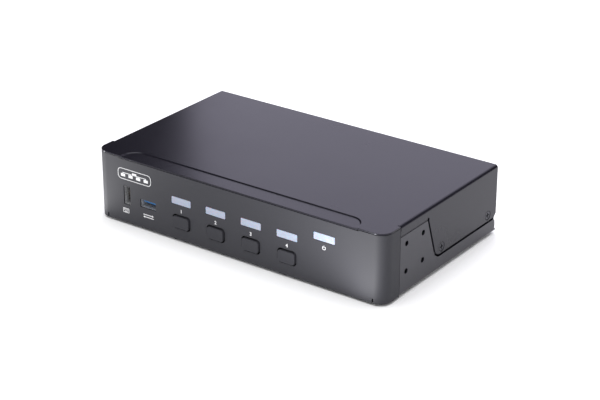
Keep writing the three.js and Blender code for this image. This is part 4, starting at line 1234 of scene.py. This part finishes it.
def plate_sign(x, z):
    """A plain framed sign: one line that branches to four boxes."""
    sign = PLATE_SIGN
    marks = [ink_frame(x, z, sign.width, sign.height, sign.corner, sign.line)]
    marks.append(ink_block(x - sign.bus_x, z + sign.bus_low, x + sign.bus_x, z + sign.bus_high))
    for n in range(4):
        cx = x + (n - 1.5) * sign.pitch
        marks.append(ink_block(cx - sign.box_x, z - sign.box_low, cx + sign.box_x, z + sign.box_high))
        marks.append(ink_block(cx - sign.drop_x, z, cx + sign.drop_x, z + sign.drop_high))
    marks.append(ink_block(x - sign.box_x, z + sign.root_low, x + sign.box_x, z + sign.root_high))
    return marks


def build_printing():
    marks = []
    for n in CHANNELS:
        spot = centre_of(f"light_window_{n}")
        marks.append(numeral(n, spot.x, spot.z - PLACES.numeral))
    power = centre_of("light_window_power")
    marks += power_sign(power.x, power.z - PLACES.power)
    keyboard = centre_of("front_usb_shell_keyboard")
    data = centre_of("front_usb_shell_data")
    marks += keyboard_sign(keyboard.x - PLACES.keyboard_shift, BOTTOM_Z + PLACES.keyboard_height)
    marks += arrow_sign(data.x, BOTTOM_Z + PLACES.arrow_height)
    marks += plate_sign((keyboard.x + data.x) / 2 - PLACES.plate_shift, BOTTOM_Z + PLACES.plate_height)
    for mark in marks:
        with editing(mark):
            merge_points()
    printing = gather(marks)
    printing.name = "front_printing"
    hand_over(printing, "printed_ink", CASE)


# ---- screws and feet -------------------------------------------------------------------------

SCREW = in_mm(head=2.7, shank=1.4, cone=0.95, sunk=0.5, blade_deep=0.8, blade_long=1.7, blade_wide=0.35,
              edge=0.1)
FOOT = in_mm(rim=1.6, step=0.4, hollow=0.25, edge=0.25)


def cross_recess(x_out, y, z, side):
    """Cross-shaped driver socket in a screw head on the side of the case."""
    low, high = sorted((side * (x_out - SCREW.blade_deep), side * (x_out + SCREW.blade_deep)))
    return [block("blade", (low, y - across, z - up), (high, y + across, z + up))
            for across, up in ((SCREW.blade_long, SCREW.blade_wide), (SCREW.blade_wide, SCREW.blade_long))]


def build_cover_screws():
    labels = [f"cover_screw_{label}_{n}" for label in ("left", "right") for n in (1, 2)]
    for node, (side, y, z) in zip(labels, screw_places()):
        low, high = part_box(node)
        outer, inner = max(abs(low.x), abs(high.x)), min(abs(low.x), abs(high.x))
        shank_top = outer - SCREW.sunk
        screw = rod(node.replace("cover", "countersunk"), "X" if side < 0 else "-X",
                    (side * (outer - SCREW.cone / 2), y, z), SCREW.head, SCREW.cone, end_radius=SCREW.shank)
        shank_x = side * (shank_top + inner) / 2
        weld(screw, rod("shank", "X", (shank_x, y, z), SCREW.shank, shank_top - inner))
        for blade in cross_recess(outer, y, z, side):
            cut(screw, blade)
        soften(screw, SCREW.edge, 2)
        hand_over(screw, "black_screw", CASE, node)


def build_feet():
    low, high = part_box("foot_front_left")
    spot = (low + high) / 2
    radius = (high.x - low.x) / 2
    foot = rod("rubber_foot_front_left", "Z", spot, radius, high.z - low.z, sides=48)
    with editing(foot):
        pick(foot, "FACE", lambda face: faces_out(face, 2, -1))
        bpy.ops.mesh.inset(thickness=FOOT.rim)
        bpy.ops.mesh.inset(thickness=FOOT.step)
        shift_picked((0.0, 0.0, FOOT.hollow))
    soften(foot, FOOT.edge, 3)
    for end in ("front", "rear"):
        for side in ("left", "right"):
            node = f"foot_{end}_{side}"
            piece = foot
            if node != "foot_front_left":
                piece = copy_of(foot, f"rubber_{node}", centre_of(node) - spot)
            hand_over(piece, "foot_rubber", CASE, node)


# ---- rear sockets ----------------------------------------------------------------------------

VIDEO_SOCKETS = [f"host_video_socket_{n}" for n in CHANNELS] + ["console_video_socket"]
SQUARE_SOCKETS = [f"host_usb_socket_{n}" for n in CHANNELS]
JACKS = ["microphone_jack", "headphone_jack"]
REAR_NODES = [*VIDEO_SOCKETS, *SQUARE_SOCKETS, "console_usb_socket", *JACKS, "power_inlet"]
POST_NODES = ["main_board_screw_left", "main_board_screw_right", "board_pillar_left", "board_pillar_right"]


SHELL_EDGE = 0.1 * MM
INSERT_SOFT = 0.12 * MM
CONTACT_SOFT = 0.05 * MM
VIDEO = in_mm(chamfer=1.8, corner=0.5, wall=0.5, depth=12.0, tongue_width=13.2, tongue_height=1.4,
              tongue_root=12.2, tongue_tip=1.4, pitch=1.2, contact_width=0.6, contact_height=1.56,
              contact_root=9.0, contact_tip=2.2)
SQUARE = in_mm(wall=0.45, depth=12.0, collar=0.7, collar_root=12.2, collar_tip=0.5, mouth_half=4.2,
               mouth_low=4.0, mouth_high=3.9, mouth_root=10.0, chamfer=2.0, tongue_width=5.6,
               tongue_height=3.2, tongue_root=11.0, tongue_tip=2.0, contact_side=1.3, contact_width=1.0,
               contact_height=3.36, contact_root=9.0, contact_tip=3.2)
STACKED = in_mm(level=4.0, mouth_width=12.5, mouth_height=5.4, mouth_root=12.0, mouth_corner=0.5,
                tongue_width=11.1, tongue_height=1.9, tongue_rise=1.05, tongue_root=12.2, tongue_tip=1.3,
                pitch=2.3, contact_width=1.0, contact_height=0.17, contact_rise=0.115, contact_root=9.0,
                contact_tip=2.4)
JACK = in_mm(hole=3.3, nose=3.0, bore=1.75, bore_depth=16.0, edge=0.2, liner=2.2, liner_bore=1.72,
             liner_back=1.9, liner_length=3.4, liner_cut=10.0, liner_edge=0.06)
INLET = in_mm(corner=0.6, bore=3.1, bore_depth=21.0, edge=0.2, pin=1.0, pin_back=6.5, pin_length=9.0,
              pin_edge=0.35)


def hollow_mouth(piece, wall, depth):
    """Sinks a mouth into the rear face, leaving a wall round it."""
    with editing(piece):
        rear = max(vertex.co.y for vertex in piece.data.vertices)
        pick(piece, "FACE", lambda face: faces_out(face, 1, 1) and near(middle(face).y, rear))
        bpy.ops.mesh.inset(thickness=wall)
        bpy.ops.mesh.extrude_region_move(TRANSFORM_OT_translate={"value": (0.0, -depth, 0.0)})


def insert_block(name, x, z, width, height, mouth_y, root, tip, soft=INSERT_SOFT):
    """A softened block in a rear socket. Its root and tip are measured in from the socket's mouth."""
    piece = front_block(name, x, z, width, height, mouth_y - root, mouth_y - tip, 0.0)
    bevel_all(piece, soft, 2)
    smooth(piece)
    return piece


SOCKET_FINISHES = ["socket_nickel", "black_insert", "contact_gold"]


def repeat_over(nodes, makers):
    """Makes the pieces of the first socket, then copies them to each of the others."""
    first = centre_of(nodes[0])
    pieces = makers(nodes[0])
    for node in nodes:
        for k, (piece, finish) in enumerate(zip(pieces, SOCKET_FINISHES)):
            name = piece.name.replace(nodes[0], node)
            twin = piece if node == nodes[0] else copy_of(piece, name, centre_of(node) - first)
            hand_over(twin, finish, CASE, *([node] if k == 0 else []))


def video_socket(node):
    size = VIDEO
    low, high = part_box(node)
    spot = (low + high) / 2
    shell = block(f"shell_{node}", low, high)
    round_upright(shell, 1, size.chamfer, 1, lambda edge: near(middle(edge).z, high.z))
    round_upright(shell, 1, size.corner, 4, lambda edge: near(middle(edge).z, low.z))
    hollow_mouth(shell, size.wall, size.depth)
    soften(shell, SHELL_EDGE, 2)
    tongue = insert_block(f"tongue_{node}", spot.x, spot.z, size.tongue_width, size.tongue_height, high.y,
                          size.tongue_root, size.tongue_tip)
    contacts = gather(insert_block(f"contacts_{node}", spot.x + (n - 4.5) * size.pitch, spot.z,
                                   size.contact_width, size.contact_height, high.y, size.contact_root,
                                   size.contact_tip, CONTACT_SOFT) for n in range(10))
    return [shell, tongue, contacts]


def square_socket(node):
    size = SQUARE
    low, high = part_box(node)
    spot = (low + high) / 2
    shell = block(f"shell_{node}", low, high)
    hollow_mouth(shell, size.wall, size.depth)
    soften(shell, SHELL_EDGE, 2)
    collar = block(f"collar_{node}", (low.x + size.collar, high.y - size.collar_root, low.z + size.collar),
                   (high.x - size.collar, high.y - size.collar_tip, high.z - size.collar))
    mouth_top = spot.z + size.mouth_high
    mouth = block("mouth", (spot.x - size.mouth_half, high.y - size.mouth_root, spot.z - size.mouth_low),
                  (spot.x + size.mouth_half, high.y + CUTTER, mouth_top))
    round_upright(mouth, 1, size.chamfer, 1, lambda edge: near(middle(edge).z, mouth_top))
    cut(collar, mouth)
    weld(collar, front_block("tongue", spot.x, spot.z, size.tongue_width, size.tongue_height,
                             high.y - size.tongue_root, high.y - size.tongue_tip, 0.0))
    soften(collar, INSERT_SOFT, 2)
    contacts = gather(insert_block(f"contacts_{node}", spot.x + side * size.contact_side, spot.z,
                                   size.contact_width, size.contact_height, high.y, size.contact_root,
                                   size.contact_tip, CONTACT_SOFT) for side in (-1, 1))
    return [shell, collar, contacts]


def stacked_socket(node):
    size = STACKED
    low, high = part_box(node)
    spot = (low + high) / 2
    levels = [spot.z + up * size.level for up in (-1, 1)]
    shell = block(f"shell_{node}", low, high)
    cut(shell, *[front_block("mouth", spot.x, z, size.mouth_width, size.mouth_height,
                             high.y - size.mouth_root, high.y + CUTTER, size.mouth_corner, 4)
                 for z in levels])
    soften(shell, INSERT_SOFT, 2)
    tongues = gather(insert_block(f"tongues_{node}", spot.x, z + size.tongue_rise, size.tongue_width,
                                  size.tongue_height, high.y, size.tongue_root, size.tongue_tip)
                     for z in levels)
    contacts = gather(insert_block(f"contacts_{node}", spot.x + (n - 1.5) * size.pitch,
                                   z + size.contact_rise, size.contact_width, size.contact_height, high.y,
                                   size.contact_root, size.contact_tip, THIN_SOFT)
                      for z in levels for n in range(4))
    return [shell, tongues, contacts]


def build_jack(node):
    low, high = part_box(node)
    spot = (low + high) / 2
    body_y = BACK_Y - bpy.context.scene.kvm_case.sheet - GAP
    body = block(f"body_{node}", low, (high.x, body_y, high.z))
    nose_y = body_y - CUTTER
    weld(body, rod("nose", "Y", (spot.x, (nose_y + high.y) / 2, spot.z), JACK.nose, high.y - nose_y,
                   sides=40))
    cut(body, rod("bore", "Y", (spot.x, high.y, spot.z), JACK.bore, JACK.bore_depth, sides=32))
    soften(body, JACK.edge, 3)
    hand_over(body, "black_insert", CASE, node)
    liner = rod(f"liner_{node}", "Y", (spot.x, high.y - JACK.liner_back, spot.z), JACK.liner,
                JACK.liner_length, sides=40)
    cut(liner, rod("bore", "Y", (spot.x, high.y, spot.z), JACK.liner_bore, JACK.liner_cut, sides=32))
    soften(liner, JACK.liner_edge, 1)
    hand_over(liner, "socket_nickel", CASE)


def build_power_inlet():
    node = "power_inlet"
    low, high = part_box(node)
    spot = (low + high) / 2
    body = block(f"body_{node}", low, high)
    round_upright(body, 1, INLET.corner, 4)
    cut(body, rod("bore", "Y", (spot.x, high.y, spot.z), INLET.bore, INLET.bore_depth, sides=40))
    soften(body, INLET.edge, 3)
    hand_over(body, "black_insert", CASE, node)
    pin = rod(f"pin_{node}", "Y", (spot.x, high.y - INLET.pin_back, spot.z), INLET.pin, INLET.pin_length,
              sides=24)
    soften(pin, INLET.pin_edge, 3)
    hand_over(pin, "socket_nickel", CASE)


# ---- what stays as the CAD made it -----------------------------------------------------------

CARRIED_OVER = {
    "main_board": "solder_mask",
    "video_board": "solder_mask",
    "front_board": "solder_mask",
    "heat_sink": "sink_aluminium",
    "ribbon_link": "ribbon_film",
    "board_stack_header": "black_insert",
    "board_pillar_left": "pillar_brass",
    "board_pillar_right": "pillar_brass",
    "main_board_screw_left": "zinc_screw",
    "main_board_screw_right": "zinc_screw",
    "video_board_screw_left": "zinc_screw",
    "video_board_screw_right": "zinc_screw",
}


def finish_inside():
    finishes = dict(CARRIED_OVER)
    for n in CHANNELS:
        finishes[f"tact_switch_{n}"] = "black_insert"
        finishes[f"button_plunger_{n}"] = "black_insert"
    for node, finish in finishes.items():
        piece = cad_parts[node]
        piece.data.materials.clear()
        piece.data.materials.append(material(finish))


# ---- stage -----------------------------------------------------------------------------------

AIM = Vector((4.1, -0.4, 17.9)) * MM
FLOOR_GRAIN = 300.0
FLOOR_TONE = 0.995
ROOM_LIGHT = 0.86
OVERHEAD_PLACE = Vector((0.1, -0.3, 2.4))
OVERHEAD_SIZE = 2.2
OVERHEAD_RADIANCE = 2.7
REAR_CARD_PLACE = Vector((-0.055, 0.533, 0.50))
REAR_CARD_WIDTH = 0.73
REAR_CARD_HEIGHT = 1.0
REAR_CARD_RADIANCE = 1.58
REAR_CARD_TONE = (0.86, 0.83, 1.0)
# The camera's side, as a step to the right and a step to the front.
CAMERA_SIDE = (0.59, 0.81)
CARD_CORNER = in_mm(inset=7.0, behind=1.0, height=0.5)
# Name, side, turn in degrees and radiance of each pair of floor cards.
FLOOR_CARDS = (("right_card", 1, -21.0, 34.0), ("left_card", -1, -62.0, 26.0))
# Near end, far end and width of the two cards in a pair, in millimetres.
CARD_STRIPS = ((14, 55, 8), (55, 140, 18))


def polar(azimuth, elevation, distance):
    """A place round the aim: azimuth 0 is straight in front, and positive is to the right."""
    flat = math.cos(elevation) * distance
    rise = math.sin(elevation) * distance
    return AIM + Vector((math.sin(azimuth) * flat, -math.cos(azimuth) * flat, rise))


def look_at(thing, place, target):
    thing.location = place
    thing.rotation_euler = (target - place).to_track_quat("-Z", "Y").to_euler()


def softbox(name, place, turn, width, height, radiance, tone=(1.0, 1.0, 1.0)):
    light = bpy.data.lights.new(name, "AREA")
    light.shape = "RECTANGLE"
    light.size = width
    light.size_y = height
    light.energy = radiance * math.pi * width * height
    light.color = tone
    lamp = bpy.data.objects.new(name, light)
    bpy.context.collection.objects.link(lamp)
    lamp.location = place
    lamp.rotation_euler = turn
    return lamp


def build_floor():
    sizes = bpy.context.scene.kvm_stage
    deselect()
    bpy.ops.mesh.primitive_plane_add(size=sizes.floor, location=(0.0, 0.0, 0.0))
    floor = named("studio_floor")
    made, tree, surface = shader("floor_paper", Roughness=0.8, Specular_IOR_Level=0.2)
    noise = add_node(tree, "ShaderNodeTexNoise", {"Scale": FLOOR_GRAIN, "Detail": 2.0})
    tree.links.new(object_place(tree), noise.inputs["Vector"])
    rgb = tuple(bpy.context.scene.kvm_finishes.floor)
    tone = mixed(tree, noise.outputs["Fac"], scaled_colour(rgb, FLOOR_TONE), rgb)
    tree.links.new(tone, surface.inputs["Base Color"])
    floor.data.materials.append(made)


def floor_card(name, corner, azimuth, near_end, far_end, width, radiance):
    """A bright card lying on the floor in front of an upright corner, which it lights from below."""
    run = Vector((math.sin(azimuth), -math.cos(azimuth), 0.0))
    centre = Vector(corner) + run * (near_end + far_end) / 2
    return softbox(name, centre, (math.pi, 0.0, azimuth), width, far_end - near_end, radiance)


def build_lights():
    """An even white room that glossy surfaces don't mirror, and cards placed for the reflections."""
    world = bpy.data.worlds.new("studio")
    world.use_nodes = True
    room = world.node_tree.nodes["Background"].inputs
    room["Color"].default_value = (1.0, 1.0, 1.0, 1.0)
    room["Strength"].default_value = ROOM_LIGHT
    world.cycles_visibility.glossy = False
    bpy.context.scene.world = world
    overhead = softbox("overhead", OVERHEAD_PLACE, (0.0, 0.0, 0.0), OVERHEAD_SIZE, OVERHEAD_SIZE,
                       OVERHEAD_RADIANCE)
    look_at(overhead, OVERHEAD_PLACE, Vector((0.0, 0.0, 0.0)))
    turn = (math.radians(90.0), 0.0, math.atan2(*CAMERA_SIDE) + math.pi)
    cards = [softbox("rear_card", REAR_CARD_PLACE, turn, REAR_CARD_WIDTH, REAR_CARD_HEIGHT,
                     REAR_CARD_RADIANCE, REAR_CARD_TONE)]
    for name, side, azimuth, radiance in FLOOR_CARDS:
        corner = (side * (SIDE_X - CARD_CORNER.inset), FRONT_Y + CARD_CORNER.behind, CARD_CORNER.height)
        for near_end, far_end, width in CARD_STRIPS:
            cards.append(floor_card(name, corner, math.radians(azimuth), near_end * MM, far_end * MM,
                                    width * MM, radiance))
    for lamp in cards:
        lamp.visible_camera = False


def build_camera():
    sizes = bpy.context.scene.kvm_stage
    camera = bpy.data.objects.new("camera", bpy.data.cameras.new("camera"))
    bpy.context.collection.objects.link(camera)
    camera.data.lens = sizes.lens
    camera.data.sensor_width = 36.0
    camera.data.clip_start = 0.05
    look_at(camera, polar(sizes.azimuth, sizes.elevation, sizes.distance), AIM)
    bpy.context.scene.camera = camera
    bpy.context.scene.view_settings.view_transform = "Standard"


# ---- operators -------------------------------------------------------------------------------

class KVM_OT_stage(bpy.types.Operator):
    """Set up the pale floor, the soft studio lights and the camera"""
    bl_idname = "kvm.stage"
    bl_label = "Stage"

    def execute(self, context):
        build_camera()
        build_floor()
        build_lights()
        return {"FINISHED"}


class KVM_OT_cover(bpy.types.Operator):
    """Fold, press and pierce the steel top cover"""
    bl_idname = "kvm.cover"
    bl_label = "Top Cover"

    def execute(self, context):
        build_cover()
        return {"FINISHED"}


class KVM_OT_tray(bpy.types.Operator):
    """Fold the steel base tray with its tabs, lugs and stand-offs"""
    bl_idname = "kvm.tray"
    bl_label = "Base Tray"

    def execute(self, context):
        build_tray()
        return {"FINISHED"}


class KVM_OT_rear_panel(bpy.types.Operator):
    """Fold the rear panel and open it for the rear sockets"""
    bl_idname = "kvm.rear_panel"
    bl_label = "Rear Panel"

    def execute(self, context):
        build_rear_panel()
        return {"FINISHED"}


class KVM_OT_bezel(bpy.types.Operator):
    """Mould the front bezel and open it for windows, buttons and sockets"""
    bl_idname = "kvm.bezel"
    bl_label = "Front Bezel"

    def execute(self, context):
        build_bezel()
        return {"FINISHED"}


class KVM_OT_buttons(bpy.types.Operator):
    """Make the four selector buttons"""
    bl_idname = "kvm.buttons"
    bl_label = "Selector Buttons"

    def execute(self, context):
        build_buttons()
        return {"FINISHED"}


class KVM_OT_windows(bpy.types.Operator):
    """Make the five frosted status windows"""
    bl_idname = "kvm.windows"
    bl_label = "Status Windows"

    def execute(self, context):
        build_windows()
        return {"FINISHED"}


class KVM_OT_front_sockets(bpy.types.Operator):
    """Make the two front USB sockets"""
    bl_idname = "kvm.front_sockets"
    bl_label = "Front Sockets"

    def execute(self, context):
        build_front_socket("keyboard", True, "black_insert")
        build_front_socket("data", False, "blue_insert")
        return {"FINISHED"}


class KVM_OT_printing(bpy.types.Operator):
    """Print the numerals and plain signs on the front"""
    bl_idname = "kvm.printing"
    bl_label = "Front Printing"

    def execute(self, context):
        build_printing()
        return {"FINISHED"}


class KVM_OT_screws(bpy.types.Operator):
    """Make the countersunk cover screws"""
    bl_idname = "kvm.screws"
    bl_label = "Cover Screws"

    def execute(self, context):
        build_cover_screws()
        return {"FINISHED"}


class KVM_OT_feet(bpy.types.Operator):
    """Make the rubber feet"""
    bl_idname = "kvm.feet"
    bl_label = "Feet"

    def execute(self, context):
        build_feet()
        return {"FINISHED"}


class KVM_OT_rear_sockets(bpy.types.Operator):
    """Make the video, USB, sound and power sockets on the rear panel"""
    bl_idname = "kvm.rear_sockets"
    bl_label = "Rear Sockets"

    def execute(self, context):
        repeat_over(VIDEO_SOCKETS, video_socket)
        repeat_over(SQUARE_SOCKETS, square_socket)
        repeat_over(["console_usb_socket"], stacked_socket)
        for node in JACKS:
            build_jack(node)
        build_power_inlet()
        return {"FINISHED"}


class KVM_OT_inside(bpy.types.Operator):
    """Give the boards, switches and fasteners inside their finishes"""
    bl_idname = "kvm.inside"
    bl_label = "Inside"

    def execute(self, context):
        finish_inside()
        return {"FINISHED"}


STEPS = [
    KVM_OT_stage, KVM_OT_cover, KVM_OT_tray, KVM_OT_rear_panel, KVM_OT_bezel, KVM_OT_buttons,
    KVM_OT_windows, KVM_OT_front_sockets, KVM_OT_printing, KVM_OT_screws, KVM_OT_feet,
    KVM_OT_rear_sockets, KVM_OT_inside,
]


class KVM_PT_builder(bpy.types.Panel):
    bl_idname = "KVM_PT_builder"
    bl_label = "KVM Switch"
    bl_space_type = "VIEW_3D"
    bl_region_type = "UI"
    bl_category = "KVM Switch"

    def draw(self, context):
        for step in STEPS:
            self.layout.operator(step.bl_idname)
        for group in (context.scene.kvm_case, context.scene.kvm_front, context.scene.kvm_finishes,
                      context.scene.kvm_stage):
            box = self.layout.box()
            for name in group.__annotations__:
                box.prop(group, name)


GROUPS = {
    "kvm_case": KvmCaseSizes,
    "kvm_front": KvmFrontSizes,
    "kvm_finishes": KvmFinishes,
    "kvm_stage": KvmStageSizes,
}


def register():
    for name, group in GROUPS.items():
        bpy.utils.register_class(group)
        setattr(bpy.types.Scene, name, bpy.props.PointerProperty(type=group))
    for step in STEPS:
        bpy.utils.register_class(step)
    bpy.utils.register_class(KVM_PT_builder)


def unregister():
    bpy.utils.unregister_class(KVM_PT_builder)
    for step in reversed(STEPS):
        bpy.utils.unregister_class(step)
    for name, group in GROUPS.items():
        delattr(bpy.types.Scene, name)
        bpy.utils.unregister_class(group)


def main():
    register()
    for step in STEPS:
        family, name = step.bl_idname.split(".")
        getattr(getattr(bpy.ops, family), name)()
    deselect()


if __name__ == "__main__":
    main()
